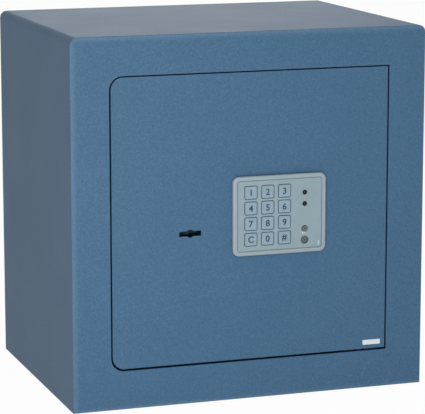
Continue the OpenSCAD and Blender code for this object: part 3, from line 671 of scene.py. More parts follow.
@dataclass(frozen=True)
class Print(Finish):
    """Printed ink or a printed film, which also serves for painted shade and painted highlights on the
    keypad.

    Attributes:
        worn: Colour where the ink is thin.
        roughness: Mean roughness.
        dot: Size of its dots in metres.
        patch: Size of the patches of thin ink.
    """

    worn: str
    roughness: float = 0.5
    dot: float = 0.25 * MM
    patch: float = 2.5 * MM

    def shade(self, graph: ShaderGraph) -> dict:
        """Builds the nodes.

        Args:
            graph: The material's tree.

        Returns:
            What the shader's sockets take, by name.
        """
        dots = graph.grain(self.dot, 2.0)
        thin = graph.grain(self.patch, 2.0)
        share = 0.35 * graph.rise(dots, 0.5, 0.8) + 0.4 * graph.rise(thin, 0.45, 0.8)
        return {
            "Base Color": graph.blend(share, self.colour, self.worn),
            "Roughness": self.roughness + 0.15 * (dots - 0.5),
            "Normal": graph.bump(dots, 0.02 * MM, 0.15),
        }


@dataclass(frozen=True)
class Felt(Finish):
    """Pressed felt with short fibres.

    Attributes:
        fibre: Colour of the loose fibres.
        width: Width of a fibre in metres.
        clump: Size of a clump of them.
        run: How often they repeat lengthways, where 1 is as often as across.
    """

    fibre: str
    width: float = 0.5 * MM
    clump: float = 7 * MM
    run: float = 0.15

    def shade(self, graph: ShaderGraph) -> dict:
        """Builds the nodes.

        Args:
            graph: The material's tree.

        Returns:
            What the shader's sockets take, by name.
        """
        lengthways = graph.grain(self.width, 3.0, Axis.X.stretch(self.run))
        crossways = graph.grain(self.width, 3.0, Axis.Y.stretch(self.run))
        clumps = graph.grain(self.clump, 2.0)
        fibres = 0.5 * lengthways + 0.5 * crossways
        share = 0.7 * graph.rise(fibres, 0.5, 0.7) + 0.3 * clumps
        return {
            "Base Color": graph.blend(share, self.colour, self.fibre),
            "Roughness": 0.9 + 0.1 * (clumps - 0.5),
            "Sheen Weight": 0.35,
            "Sheen Roughness": 0.5,
            "Normal": graph.bump(0.7 * fibres + 0.3 * clumps, 0.4 * MM, 0.7),
        }


@dataclass(frozen=True)
class CircuitBoard(Finish):
    """Solder mask with fine copper tracks under it.

    Attributes:
        track: Colour over the copper.
        pitch: About the distance from track to track, in metres.
        run: How often the tracks repeat lengthways, where 1 is as often as across.
    """

    track: str
    pitch: float = 2.2 * MM
    run: float = 0.12

    def shade(self, graph: ShaderGraph) -> dict:
        """Builds the nodes.

        Args:
            graph: The material's tree.

        Returns:
            What the shader's sockets take, by name.
        """
        across = graph.rise(graph.grain(self.pitch, 0.0, Axis.X.stretch(self.run)), 0.55, 0.58)
        upward = graph.rise(graph.grain(self.pitch, 0.0, Axis.Z.stretch(self.run)), 0.57, 0.6)
        tracks = across + upward - across * upward
        return {
            "Base Color": graph.blend(tracks, self.colour, self.track),
            "Roughness": 0.3 + 0.1 * tracks,
            "Normal": graph.bump(tracks, 0.04 * MM, 0.4),
        }


@dataclass(frozen=True)
class CellSleeve(Finish):
    """Shrunk sleeve of a dry cell, with a band of another colour.

    Attributes:
        band: The band's colour.
        edges: Where the band begins and ends along X, in metres.
        fade: How far the one colour runs into the other.
        scuff: Size of the scuffs.
    """

    band: str
    edges: tuple[float, float]
    fade: float = 0.2 * MM
    scuff: float = 1.2 * MM

    def shade(self, graph: ShaderGraph) -> dict:
        """Builds the nodes.

        Args:
            graph: The material's tree.

        Returns:
            What the shader's sockets take, by name.
        """
        start, end = (graph.rise(graph.along("X"), edge, edge + self.fade) for edge in self.edges)
        scuffs = graph.grain(self.scuff, 3.0)
        return {
            "Base Color": graph.blend(start - end, self.colour, self.band),
            "Roughness": 0.3 + 0.2 * (scuffs - 0.5),
            "Normal": graph.bump(scuffs, 0.03 * MM, 0.15),
        }


class Look:
    """The safe's finishes."""

    PAINT = GrainedPaint("grained_paint", "#426684", "#304F68", "#577B96")
    COVER = GrainedPaint("cover_paint", "#69757F", "#56616B", "#7F8A93")
    ZINC = Metal("zinc_plate", "#B9BDC0", "#8F9498")
    BOLT = Metal("turned_bolt", "#C4C6C8", "#9A9EA2", Axis.X, 0.24)
    CAN = Metal("motor_can", "#A9ACAE", "#83878A", Axis.X, 0.36)
    # Steel of the key barrel and hinge pins, darkened and tinted blue as painted shade in the keyhole
    # and the door gap.
    STEEL_WITH_SHADE = Metal("dark_steel_with_painted_shade", "#2E3F4C", "#1D2932", Axis.NONE, 0.4)
    SPRING = Metal("spring_nickel", "#C9C5BA", "#A09B8E")
    BRASS = Metal("turned_brass", "#C8A35C", "#93733A", Axis.Y, 0.28)
    # Bronze of the thrust washer, darkened as painted shade in the door gap.
    BRONZE_WITH_SHADE = Metal("bronze_with_painted_shade", "#2C261E", "#1B1712", Axis.NONE, 0.4)
    FILM = MouldedPlastic("pad_film", "#889CA4", "#80949C", 0.5, 0.5 * MM, 0.3)
    LID = MouldedPlastic("lid_plastic", "#5E676F", "#545D65", 0.48, 0.6 * MM, 0.4)
    BLACK = MouldedPlastic("black_plastic", "#1D1F22", "#141618", 0.45, 0.5 * MM, 0.3)
    RUBBER = MouldedPlastic("soft_rubber", "#2A2E32", "#212427", 0.75, 0.5 * MM, 0.3)
    RESET = MouldedPlastic("reset_cap", "#A3221E", "#8C1A17", 0.35)
    LENS = MouldedPlastic("smoked_lens", "#0A1419", "#070E12", 0.14, 0.5 * MM, 0.04, 0.18)
    RIBBON = Print("ribbon_film", "#B9BBB6", "#A4A6A1", 0.4)
    SIGN = Print("sign_ink", "#1B3143", "#263E50", 0.55)
    LINE = Print("line_ink", "#2E4656", "#3A5464", 0.55)
    # Painted shade: a dark film on the floor of the groove round the panel.
    GROOVE = Print("painted_groove_shade", "#4A606D", "#556B78", 0.55)
    # Painted highlight: the white spots between the contacts.
    WHITE = Print("white_ink", "#CBD6DA", "#BECACF", 0.5)
    THIN_WHITE = Print("thin_white_ink", "#AEBFC6", "#A2B4BC", 0.5)
    LABEL = Print("label_film", "#DDE3E7", "#D2D9DE", 0.38)
    FELT = Felt("floor_felt", "#303338", "#4A4E54")
    BOARD = CircuitBoard("solder_mask", "#17492F", "#2A6B46")


@dataclass(frozen=True)
class SoftEdges:
    """Rounding of a CAD node's sharp edges.

    Attributes:
        radius: Width of the rounding in metres.
        segments: Faces across the rounding.
        flat: Greatest angle between two faces that become one.
    """

    radius: float
    segments: int = 3
    flat: float = math.radians(1)

    def put_on(self, node: bpy.types.Object) -> None:
        """Adds the modifiers.

        Args:
            node: The CAD node's object.
        """
        weld = node.modifiers.new("merge", "WELD")
        weld.merge_threshold = MERGE
        faces = node.modifiers.new("flat_faces", "DECIMATE")
        faces.decimate_type = "DISSOLVE"
        faces.angle_limit = self.flat
        bevel = node.modifiers.new("soft_edges", "BEVEL")
        bevel.width = self.radius
        bevel.segments = self.segments
        bevel.limit_method = "ANGLE"
        bevel.angle_limit = SHARP
        bevel.use_clamp_overlap = False
        bevel.harden_normals = True


def dress(node: str, finish: Finish, edges: SoftEdges | None = None) -> None:
    """Gives a CAD node its finish.

    Args:
        node: The node's name.
        finish: Its finish.
        edges: Rounding of its edges, if it has any.
    """
    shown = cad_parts[node]
    for slot in shown.material_slots:
        slot.material = finish.material()
    if edges:
        edges.put_on(shown)
    LOG.info("%s wears %s", node, finish.name)


def add_piece(
    name: str, mesh: bpy.types.Mesh, finish: Finish, body: str
) -> bpy.types.Object:
    """Adds a piece that moves with a body.

    Args:
        name: The piece's name.
        mesh: Its mesh, in place.
        finish: Its finish.
        body: The body that it rides on.

    Returns:
        The piece's object.
    """
    mesh.name = name
    mesh.materials.clear()
    mesh.materials.append(finish.material())
    piece = place_object(name, mesh)
    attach(piece, body)
    LOG.info("%s rides on %s in %s", name, body, finish.name)
    return piece


def rounded_outline(width: float, height: float, corner: float, steps: int = 6) -> list[Vector]:
    """Gives the outline of a rectangle with round corners.

    Args:
        width: Its width.
        height: Its height.
        corner: The corners' radius.
        steps: Parts of each corner.

    Returns:
        Its points, anticlockwise round the middle.
    """
    points = []
    for quarter, (side, top) in enumerate(((1, 1), (-1, 1), (-1, -1), (1, -1))):
        middle = Vector((side * (width / 2 - corner), top * (height / 2 - corner)))
        for step in range(steps + 1):
            angle = math.radians(90) * (quarter + step / steps)
            points.append(middle + corner * Vector((math.cos(angle), math.sin(angle))))
    return points


def film_mesh(
    name: str, size: tuple[float, float], corner: float, thickness: float, centre: Vector
) -> bpy.types.Mesh:
    """Makes a thin film that faces the front.

    Args:
        name: The mesh's name.
        size: Its width and height.
        corner: The corners' radius.
        thickness: Its thickness.
        centre: The middle of its rear face.

    Returns:
        The mesh.
    """
    shape = bmesh.new()
    outline = [shape.verts.new((p.x, 0, p.y)) for p in rounded_outline(*size, corner)]
    face = shape.faces.new(outline)
    front = bmesh.ops.extrude_face_region(shape, geom=[face])["geom"]
    moved = [v for v in front if isinstance(v, bmesh.types.BMVert)]
    bmesh.ops.translate(shape, vec=(0, -thickness, 0), verts=moved)
    bmesh.ops.translate(shape, vec=centre, verts=shape.verts)
    bmesh.ops.recalc_face_normals(shape, faces=shape.faces)
    return closed_mesh(name, shape)


class RoundedCopy:
    """Merged copy of a CAD node, some of whose edges are rounded."""

    FLAT = math.radians(0.5)

    def __init__(self, node: str) -> None:
        """Copies the node's mesh and merges its loose triangles.

        Args:
            node: The node's name.
        """
        self.node = node
        self.shape = bmesh.new()
        self.shape.from_mesh(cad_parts[node].data)
        bmesh.ops.remove_doubles(self.shape, verts=self.shape.verts, dist=MERGE)
        parts = {"verts": self.shape.verts, "edges": self.shape.edges}
        bmesh.ops.dissolve_limit(self.shape, angle_limit=self.FLAT, **parts)

    def is_sharp(self, edge: bmesh.types.BMEdge) -> bool:
        """Says whether two faces meet at the edge at an angle."""
        return len(edge.link_faces) == 2 and edge.calc_face_angle() > SHARP

    def round(self, radius: float, picks: Callable[[Vector], bool], segments: int = 4) -> None:
        """Rounds some of the sharp edges.

        Args:
            radius: Width of the rounding in metres.
            picks: Says of both ends of an edge whether it is rounded.
            segments: Faces across the rounding.
        """
        sharp = [e for e in self.shape.edges if self.is_sharp(e)]
        picked = [e for e in sharp if all(picks(v.co) for v in e.verts)]
        bmesh.ops.bevel(
            self.shape,
            geom=picked,
            offset=radius,
            offset_type="OFFSET",
            segments=segments,
            profile=0.5,
            affect="EDGES",
            clamp_overlap=False,
        )

    def piece(self, name: str, finish: Finish, body: str, slot: str) -> None:
        """Adds the copy in the node's place.

        Args:
            name: The piece's name.
            finish: Its finish.
            body: The body that it rides on.
            slot: The record's material slot; not used.
        """
        for edge in self.shape.edges:
            edge.smooth = not self.is_sharp(edge)
        for face in self.shape.faces:
            face.smooth = True
        made = add_piece(name, closed_mesh(name, self.shape), finish, body)
        even = made.modifiers.new("even_normals", "WEIGHTED_NORMAL")
        even.keep_sharp = True
        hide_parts(self.node)


@dataclass(frozen=True)
class Lamp:
    """Soft square lamp.

    Attributes:
        name: The lamp's name.
        place: Where it hangs.
        size: Its side in metres.
        power: Its power in watts.
    """

    name: str
    place: tuple[float, float, float]
    size: float
    power: float

    def hang(self, target: Vector) -> None:
        """Adds the lamp.

        Args:
            target: What it faces.
        """
        light = bpy.data.lights.new(self.name, "AREA")
        light.size = self.size
        light.energy = self.power
        lamp = place_object(self.name, light)
        lamp.location = self.place
        aim = target - Vector(self.place)
        lamp.rotation_euler = aim.to_track_quat("-Z", "Y").to_euler()


@dataclass
class Studio:
    """Camera, floor and lamps of the photograph.

    Attributes:
        azimuth: Degrees that the camera stands round from the front.
        elevation: Degrees that it stands above the level.
        target: What it looks at.
        distance: How far away it stands.
        lens: Its focal length in millimetres.
        sensor: Width of its sensor in millimetres.
        reach: How far it sees, in metres.
        surroundings: How much light they give, where 1 is white.
        floor_radius: Radius of the floor in metres.
        floor_points: Points round it.
        floor_white: How white the camera finds the floor. The rest is lit paper, which keeps a shadow.
        paper: The two tones of that paper.
        fleck: Size of its flecks in metres.
        lamps: The lamps.
    """

    azimuth: float = -18.985
    elevation: float = 10.602
    target: tuple[float, float, float] = (7.15 * MM, 0.32 * MM, 184.17 * MM)
    distance: float = 2566.4 * MM
    lens: float = 191.37
    sensor: float = 36.0
    reach: float = 50.0
    surroundings: float = 0.28
    floor_radius: float = 9.0
    floor_points: int = 96
    floor_white: float = 0.97
    paper: tuple[str, str] = ("#F6F6F5", "#F1F1F0")
    fleck: float = 30 * MM
    lamps: tuple[Lamp, ...] = (
        Lamp("high_lamp", (-0.7, -1.6, 0.95), 0.8, 7.0),
        Lamp("low_lamp", (-0.35, -1.1, 0.22), 0.4, 4.2),
        Lamp("front_lamp", (-0.2, -2.4, 0.3), 0.8, 5.6),
        Lamp("right_lamp", (2.4, 0.4, 0.7), 1.0, 7.0),
        Lamp("back_lamp", (0.8, 2.6, 0.7), 1.0, 8.0),
    )

    def build(self) -> None:
        """Builds the whole studio."""
        bpy.context.scene.view_settings.view_transform = "Standard"
        self.build_camera()
        self.build_world()
        self.build_floor()
        for lamp in self.lamps:
            lamp.hang(Vector(self.target))

    def build_camera(self) -> None:
        """Stands the camera where the photograph was taken from."""
        around = math.radians(self.azimuth)
        above = math.radians(self.elevation)
        level = math.cos(above)
        away = Vector((math.sin(around) * level, -math.cos(around) * level, math.sin(above)))
        lens = bpy.data.cameras.new("camera")
        lens.lens = self.lens
        lens.sensor_width = self.sensor
        lens.sensor_fit = "HORIZONTAL"
        lens.clip_end = self.reach
        camera = place_object("camera", lens)
        camera.location = Vector(self.target) + self.distance * away
        camera.rotation_euler = (-away).to_track_quat("-Z", "Y").to_euler()
        bpy.context.scene.camera = camera

    @staticmethod
    def shown_rays(graph: NodeGraph, camera_share: float) -> Signal:
        """Gives how white a ray finds the surroundings.

        Args:
            graph: The tree that asks.
            camera_share: The answer for the camera's own rays.

        Returns:
            That share for the camera, 1 for a ray from gloss or glass, and 0 for other light.
        """
        path = graph.add("ShaderNodeLightPath")
        rays = ("Is Camera Ray", "Is Glossy Ray", "Is Transmission Ray")
        seen, gloss, glass = (Signal(graph, path.outputs[ray]) for ray in rays)
        return seen * camera_share + (1 - seen) * gloss.math("MAXIMUM", gloss, glass)

    def build_world(self) -> None:
        """Makes the surroundings white to the eye and dimmer as a light."""
        world = bpy.data.worlds.new("surroundings")
        world.use_nodes = True
        graph = NodeGraph(world.node_tree)
        graph.tree.nodes.clear()
        strength = self.surroundings + (1 - self.surroundings) * self.shown_rays(graph, 1.0)
        light = graph.value("ShaderNodeBackground", {}, {"Color": PURE_WHITE, "Strength": strength})
        graph.add("ShaderNodeOutputWorld", {}, {"Surface": light})
        bpy.context.scene.world = world

    def build_floor(self) -> None:
        """Lays a pale floor that keeps a faint shadow."""
        shape = bmesh.new()
        circle = {"radius": self.floor_radius, "segments": self.floor_points}
        bmesh.ops.create_circle(shape, cap_ends=True, **circle)
        mesh = closed_mesh("studio_floor", shape)
        graph = ShaderGraph("floor_paper")
        fleck = graph.grain(self.fleck, 2.0)
        tone = graph.blend(fleck, *self.paper)
        paper = graph.value("ShaderNodeBsdfDiffuse", {}, {"Color": tone})
        white = graph.value("ShaderNodeEmission", {}, {"Color": PURE_WHITE, "Strength": 1.0})
        inputs = {0: self.shown_rays(graph, self.floor_white), 1: paper, 2: white}
        mixed = graph.value("ShaderNodeMixShader", {}, inputs)
        graph.add("ShaderNodeOutputMaterial", {}, {"Surface": mixed})
        mesh.materials.append(graph.material)
        place_object("studio_floor", mesh)


@dataclass
class Carcass:
    """Body of the safe.

    Attributes:
        outer_rounding: Rounding of the frame's outer front edges.
        opening_rounding: Rounding of the front edges round the door.
        bracket_rounding: Rounding of the hinge brackets' edges.
        highlight_sides: How far the painted highlight reaches from the frame's left and its right edge.
        highlight_ends: How far it reaches from the lower and the upper edge.
    """

    outer_rounding: float = 1.0 * MM
    opening_rounding: float = 0.5 * MM
    bracket_rounding: float = 0.5 * MM
    highlight_sides: tuple[float, float] = (8 * MM, 1.5 * MM)
    highlight_ends: tuple[float, float] = (5 * MM, 7 * MM)

    def build(self) -> None:
        """Builds and dresses the body."""
        for node in ("body_wrap", "base_plate", "back_plate", "bolt_keeper"):
            dress(node, Look.PAINT)
        for node in ("upper_hinge_bracket", "lower_hinge_bracket"):
            dress(node, Look.PAINT, SoftEdges(self.bracket_rounding))
        dress("thrust_washer", Look.BRONZE_WITH_SHADE)
        self.build_frame()

    def build_frame(self) -> None:
        """Rounds the front edges of the front frame."""
        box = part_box("front_frame")
        low, high = box
        front = low[1] + ON_FACE

        def outer(point: Vector) -> bool:
            """Says whether a point of the front lies near the outside."""
            return point.y < front and edge_distance(point, box) < EDGE_BAND

        def opening(point: Vector) -> bool:
            """Says whether a point of the front lies round the door."""
            return point.y < front and not outer(point)

        copy = RoundedCopy("front_frame")
        copy.round(self.outer_rounding, outer)
        copy.round(self.opening_rounding, opening)
        left, right = self.highlight_sides
        lower, upper = self.highlight_ends
        # The frame's paint gets painted shade on the walls round the door, and a painted highlight along
        # its outer front edges.
        paint = EdgeHighlightPaint(
            "frame_paint", Look.PAINT.colour, Look.PAINT.dark, Look.PAINT.pale,
            depth=(low[1] + self.opening_rounding, high[1] - GapShadePaint.fade),
            width=(low[0] + EDGE_BAND, high[0] - EDGE_BAND),
            height=(low[2] + EDGE_BAND, high[2] - EDGE_BAND),
            front=low[1],
            sides=((low[0], left), (high[0], -right)),
            ends=((low[2], lower), (high[2], -upper)),
        )
        copy.piece("front_frame_soft", paint, "body", "paint")


@dataclass
class Door:
    """Door with its hinge parts and a bare label.

    Attributes:
        label_size: Width and height of the label.
        label_place: The label's middle along X and Z.
        label_corner: Radius of its corners.
        film: Its thickness.
        rounding: Rounding of the edges of the door and its hinge parts.
        keyhole_rounding: Rounding of the keyhole's front edge.
        shade_margin: How far the painted shade on the door's edges reaches past them.
    """

    label_size: tuple[float, float] = (20.6 * MM, 5.4 * MM)
    label_place: tuple[float, float] = (140.6 * MM, 51.3 * MM)
    label_corner: float = 0.8 * MM
    film: float = 0.12 * MM
    rounding: float = 0.5 * MM
    keyhole_rounding: float = 0.3 * MM
    shade_margin: float = 1 * MM

    def build(self) -> None:
        """Builds and dresses the door."""
        self.build_plate()
        for node in ("hinge_lugs", "dead_bar"):
            dress(node, Look.PAINT, SoftEdges(self.rounding))
        dress("hinge_pins", Look.STEEL_WITH_SHADE)
        self.build_label()

    def build_plate(self) -> None:
        """Rounds the edges of the door and of its keyhole."""
        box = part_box("door_plate")
        low, high = box
        front = low[1] + ON_FACE
        keypad_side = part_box("keypad_housing")[0][0]

        def outer(point: Vector) -> bool:
            """Says whether a point lies near the door's outside."""
            return edge_distance(point, box) < EDGE_BAND

        def keyhole(point: Vector) -> bool:
            """Says whether a point of the front lies round the keyhole."""
            return point.y < front and point.x < keypad_side and not outer(point)

        copy = RoundedCopy("door_plate")
        copy.round(self.rounding, outer)
        copy.round(self.keyhole_rounding, keyhole, segments=3)
        margin = self.shade_margin
        # The walls of the door's edges get painted shade.
        paint = GapShadePaint(
            "door_paint", Look.PAINT.colour, Look.PAINT.dark, Look.PAINT.pale,
            depth=(low[1] + self.rounding, high[1] - GapShadePaint.fade),
            width=(low[0] - margin, high[0] + margin),
            height=(low[2] - margin, high[2] + margin),
        )
        copy.piece("door_plate_soft", paint, "door", "paint")

    def build_label(self) -> None:
        """Sticks the bare label on the door."""
        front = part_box("door_plate")[0][1]
        centre = Vector((self.label_place[0], front, self.label_place[1]))
        mesh = film_mesh("door_label", self.label_size, self.label_corner, self.film, centre)
        add_piece("door_label", mesh, Look.LABEL, "door")


@dataclass
class LockWorks:
    """Bolts, locks, motor and electronics behind the door.

    Attributes:
        FINISHES: The nodes that wear each finish.
        barrel_rounding: Rounding of the key barrel's edges.
        black_share: Share of a cell's length that is black.
        band_margin: How far the band of the other colour reaches past the cell's end.
    """

    FINISHES = (
        (Look.ZINC, ("bolt_guide", "cover_posts", "motor_strap", "bolt_screws", "board_spacers",
                     "key_lock_case", "lock_case_screws")),
        (Look.BOLT, ("bolt_bar", "drive_rack", "upper_bolt", "lower_bolt")),
        (Look.BRASS, ("motor_pinion",)),
        (Look.BLACK, ("motor_gearbox", "board_parts", "battery_tray", "reset_switch")),
        (Look.BOARD, ("control_board", "keypad_board")),
        (Look.CAN, ("lock_motor",)),
        (Look.RIBBON, ("keypad_ribbon",)),
        (Look.SPRING, ("battery_contacts",)),
    )

    barrel_rounding: float = 0.2 * MM
    black_share: float = 0.62
    band_margin: float = 1 * MM

    def build(self) -> None:
        """Dresses the works."""
        for finish, nodes in self.FINISHES:
            for node in nodes:
                dress(node, finish)
        dress("key_barrel", Look.STEEL_WITH_SHADE, SoftEdges(self.barrel_rounding, segments=2))
        low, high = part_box("battery_cells")
        band = (low[0] + self.black_share * (high[0] - low[0]), high[0] + self.band_margin)
        dress("battery_cells", CellSleeve("cell_sleeve", "#1B1D20", "#B07A3E", band))


@dataclass
class InnerCover:
    """Cover over the works, with its screws, battery lid and reset button.

    Attributes:
        cover_rounding: Rounding of the cover's edges.
        lid_rounding: Rounding of the battery lid's edges.
        button_rounding: Rounding of the reset button's edges.
        head_radius: Radius of a screw head.
        head_points: Points round it.
        rim_share: Share of its height that is upright.
        crown_share: Share of its radius that is flat on top.
        recess: Length, width and depth of a screw's cross.
        seed: Picks how far each screw is turned.
    """

    cover_rounding: float = 0.6 * MM
    lid_rounding: float = 0.25 * MM
    button_rounding: float = 0.3 * MM
    head_radius: float = 4.0 * MM
    head_points: int = 40
    rim_share: float = 0.45
    crown_share: float = 0.62
    recess: tuple[float, float, float] = (4.4 * MM, 1.1 * MM, 1.5 * MM)
    seed: int = 7

    def build(self) -> None:
        """Builds and dresses the cover."""
        dress("inner_cover", Look.COVER, SoftEdges(self.cover_rounding))
        dress("battery_cover", Look.LID, SoftEdges(self.lid_rounding, segments=2))
        dress("reset_button", Look.RESET, SoftEdges(self.button_rounding))
        self.build_screws()

    def places(self) -> bpy.types.Mesh:
        """Finds where the screws sit on the cover's inner face.

        Returns:
            A mesh with a point for each screw.
        """
        low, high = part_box("cover_screws")
        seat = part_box("inner_cover")[1][1]
        sides = (low[0] + self.head_radius, high[0] - self.head_radius)
        levels = (low[2] + self.head_radius, high[2] - self.head_radius)
        mesh = bpy.data.meshes.new("screw_places")
        mesh.from_pydata([(x, seat, z) for x in sides for z in levels], [], [])
        return mesh

    def head(self, tree: GeometryGraph) -> Signal:
        """Builds a pan head from an upright rim and a dome.

        Args:
            tree: The tree that it is built in.

        Returns:
            The head, which stands on the XY plane.
        """
        radius = tree.given("Head Radius")
        high = tree.given("Head Height")
        rim = self.rim_share * high
        wall_inputs = {"Vertices": self.head_points, "Radius": radius, "Depth": rim}
        wall = tree.value("GeometryNodeMeshCylinder", {}, wall_inputs, "Mesh")
        dome_inputs = {
            "Vertices": self.head_points,
            "Radius Top": self.crown_share * radius,
            "Radius Bottom": radius,
            "Depth": high - rim,
        }
        dome = tree.value("GeometryNodeMeshCone", {}, dome_inputs, "Mesh")
        up = tree.vector(Z=0.5 * rim)
        on_top = tree.vector(Z=rim)
        joined = {"Mesh 2": [tree.moved(wall, up), tree.moved(dome, on_top)]}
        return tree.value("GeometryNodeMeshBoolean", {"operation": "UNION"}, joined, "Mesh")

    def crossed(self, tree: GeometryGraph, head: Signal) -> Signal:
        """Cuts the cross for the driver.

        Args:
            tree: The tree that it is cut in.
            head: The head without it.

        Returns:
            The head with it.
        """
        size = tree.vector(
            X=tree.given("Recess Length"),
            Y=tree.given("Recess Width"),
            Z=2 * tree.given("Recess Depth"),
        )
        slot = tree.value("GeometryNodeMeshCube", {}, {"Size": size}, "Mesh")
        top = tree.vector(Z=tree.given("Head Height"))
        slots = [tree.moved(slot, top, (0.0, 0.0, angle)) for angle in (0.0, math.radians(90))]
        inputs = {"Mesh 1": head, "Mesh 2": slots}
        return tree.value("GeometryNodeMeshBoolean", {"operation": "DIFFERENCE"}, inputs, "Mesh")

    def build_screws(self) -> None:
        """Makes the pan head screws."""
        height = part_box("cover_screws")[1][1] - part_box("inner_cover")[1][1]
        length, width, depth = self.recess
        sizes = {
            "Head Radius": self.head_radius,
            "Head Height": height,
            "Recess Length": length,
            "Recess Width": width,
            "Recess Depth": depth,
            "Material": Look.ZINC.material(),
        }
        tree = GeometryGraph("pan_heads", sizes)
        head = self.crossed(tree, self.head(tree))
        inward = tree.moved(head, (0.0, 0.0, 0.0), (math.radians(-90), 0.0, 0.0))
        turn_range = {2: 0.0, 3: math.tau, "Seed": self.seed}
        turn = tree.value("FunctionNodeRandomValue", {"data_type": "FLOAT"}, turn_range, 1)
        mesh = tree.bake(inward, self.places(), tree.vector(Y=turn))
        screws = add_piece("cover_screw_heads", mesh, Look.ZINC, "door")
        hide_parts("cover_screws")


@dataclass
class Keypad:
    """Keypad with its printed signs and lines.

    Attributes:
        SIGNS: The sign on each key, by the key's body.
        sign_height: Height of a digit.
        digit_share: Share of the font's size that a digit is high.
        sign_weight: How far the strokes of a sign are thickened.
        sign_steps: Parts of a bow between two points of its outline.
        print_depth: Thickness of the print.
        key_rounding: Rounding of a key's edges.
        key_step: How far behind the panel's front the painted shade on a key's sides begins.
        window: Side of a key's window in the panel.
        line_width: Width of the line round a window.
        line_corner: Radius of its inner corners.
        corner_points: Points round each of its corners.
        rim: Width of the housing's rim.
        rim_rounding: Rounding of the rim's inner edge.
        rim_light_step: How far behind the rim's front the painted light on the housing's sides begins.
        rim_light_fade: How far the front's colour runs into the painted light of the sides.
        groove: Width of the groove round the panel.
        groove_shade_width: Width of the painted shade along the groove's inner side.
        groove_depth: The groove's depth.
        corner_mark: Width and height of the white mark in the panel's corner, and its middle in X and Z.
        contact_highlights: The same for the painted white highlights between the contacts.
        mark_corner: Radius of the marks' corners.
    """

    SIGNS = {f"key_{digit}": f"{digit}" for digit in range(1, 10)}
    SIGNS |= {"key_clear": "C", "key_0": "0", "key_hash": "#"}

    sign_height: float = 6.8 * MM
    digit_share: float = 0.7
    sign_weight: float = 0.235 * MM
    sign_steps: int = 4
    print_depth: float = 0.08 * MM
    key_rounding: float = 0.25 * MM
    key_step: float = 0.2 * MM
    window: float = 14.2 * MM
    line_width: float = 0.4 * MM
    line_corner: float = 1.7 * MM
    corner_points: int = 5
    rim: float = 4.5 * MM
    rim_rounding: float = 0.4 * MM
    rim_light_step: float = 0.3 * MM
    rim_light_fade: float = 1.2 * MM
    groove: float = 0.7 * MM
    groove_shade_width: float = 0.3 * MM
    groove_depth: float = 0.8 * MM
    corner_mark: tuple[float, ...] = (1.9 * MM, 5.2 * MM, 74.2 * MM, 168.9 * MM)
    contact_highlights: tuple[tuple[float, ...], ...] = (
        (1.4 * MM, 2.4 * MM, 55.9 * MM, 181.1 * MM),
        (0.8 * MM, 2.2 * MM, 58.1 * MM, 181.1 * MM),
    )
    mark_corner: float = 0.3 * MM

    def build(self) -> None:
        """Builds and dresses the keypad."""
        self.build_housing()
        dress("keypad_panel", Look.FILM)
        dress("keypad_gasket", Look.RUBBER)
        dress("key_mat", Look.RUBBER)
        dress("keypad_screws", Look.ZINC)
        dress("status_lights", Look.LENS)
        self.dress_contacts()
        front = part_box("keypad_panel")[0][1]
        # The keys' sides behind the step are painted darker, as painted shade in the gaps round the
        # keys.
        cap = PaintedSidesPlastic("key_cap", "#869EAA", "#7C95A2", 0.45, step=front + self.key_step)
        for key, sign in self.SIGNS.items():
            dress(key, cap, SoftEdges(self.key_rounding))
            self.build_sign(key, sign)
        self.build_lines()
        self.build_marks()

    def build_housing(self) -> None:
        """Rounds the rim of the housing."""
        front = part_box("keypad_housing")[0][1] + ON_FACE

        def on_rim(point: Vector) -> bool:
            """Says whether a point lies on the rim's front, whose only sharp edge is the inner one."""
            return point.y < front

        copy = RoundedCopy("keypad_housing")
        copy.round(self.rim_rounding, on_rim, segments=3)
        # The housing's sides are painted paler than its front, as painted light on the walls round the
        # keypad.
        shell = PaintedSidesPlastic(
            "pad_shell", "#94A2AA", "#8997A0", 0.38,
            sides="#BAC6CD", step=front + self.rim_light_step, fade=self.rim_light_fade,
        )
        copy.piece("keypad_rim", shell, "door", "keypad_shell")

    def dress_contacts(self) -> None:
        """Gives the two contacts rings round their own middles."""
        for node in ("contact_stud", "contact_socket"):
            dress(node, TurnedMetal(node + "_metal", "#687477", "#3C4649", middle(node)))

    def build_sign(self, key: str, sign: str) -> None:
        """Prints a key's sign on its face.

        Args:
            key: The key's node and body.
            sign: The sign.
        """
        curve = bpy.data.curves.new("sign", "FONT")
        curve.body = sign
        curve.size = self.sign_height / self.digit_share
        curve.extrude = self.print_depth / 2
        curve.offset = self.sign_weight
        curve.resolution_u = self.sign_steps
        mesh = plain_mesh(place_object("sign", curve))
        sides = zip(*((v.co.x, v.co.y) for v in mesh.vertices))
        aside, up = ((min(spots) + max(spots)) / 2 for spots in sides)
        to_origin = Matrix.Translation((-aside, -up, 0))
        upright = Matrix.Rotation(math.radians(90), 4, "X")
        x, _, z = middle(key)
        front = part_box(key)[0][1]
        to_key = Matrix.Translation((x, front - self.print_depth / 2, z))
        mesh.transform(to_key @ upright @ to_origin)
        shape = bmesh.new()
        shape.from_mesh(mesh)
        bmesh.ops.remove_doubles(shape, verts=shape.verts, dist=MERGE)
        bmesh.ops.recalc_face_normals(shape, faces=shape.faces)
        shape.to_mesh(mesh)
        shape.free()
        add_piece("sign_of_" + key, mesh, Look.SIGN, key)

    def build_lines(self) -> None:
        """Prints a thin line round each key, and lays painted shade along the groove round the panel."""
        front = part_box("keypad_panel")[0][1]
        places = [(x, front, z) for x, _, z in (middle(key) for key in self.SIGNS)]
        window = (self.window, self.window)
        lines = self.rings("key_lines", places, window, self.line_corner, self.line_width)
        add_piece("key_lines", lines, Look.LINE, "door")
        low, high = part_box("keypad_housing")
        x, _, z = middle("keypad_housing")
        place = (x, front + self.groove_depth, z)
        inset = 2 * (self.rim + self.groove)
        field = (high[0] - low[0] - inset, high[2] - low[2] - inset)
        # Painted shade in the groove round the panel
        groove = self.rings("panel_groove", [place], field, self.line_corner, self.groove_shade_width)
        add_piece("panel_groove", groove, Look.GROOVE, "door")

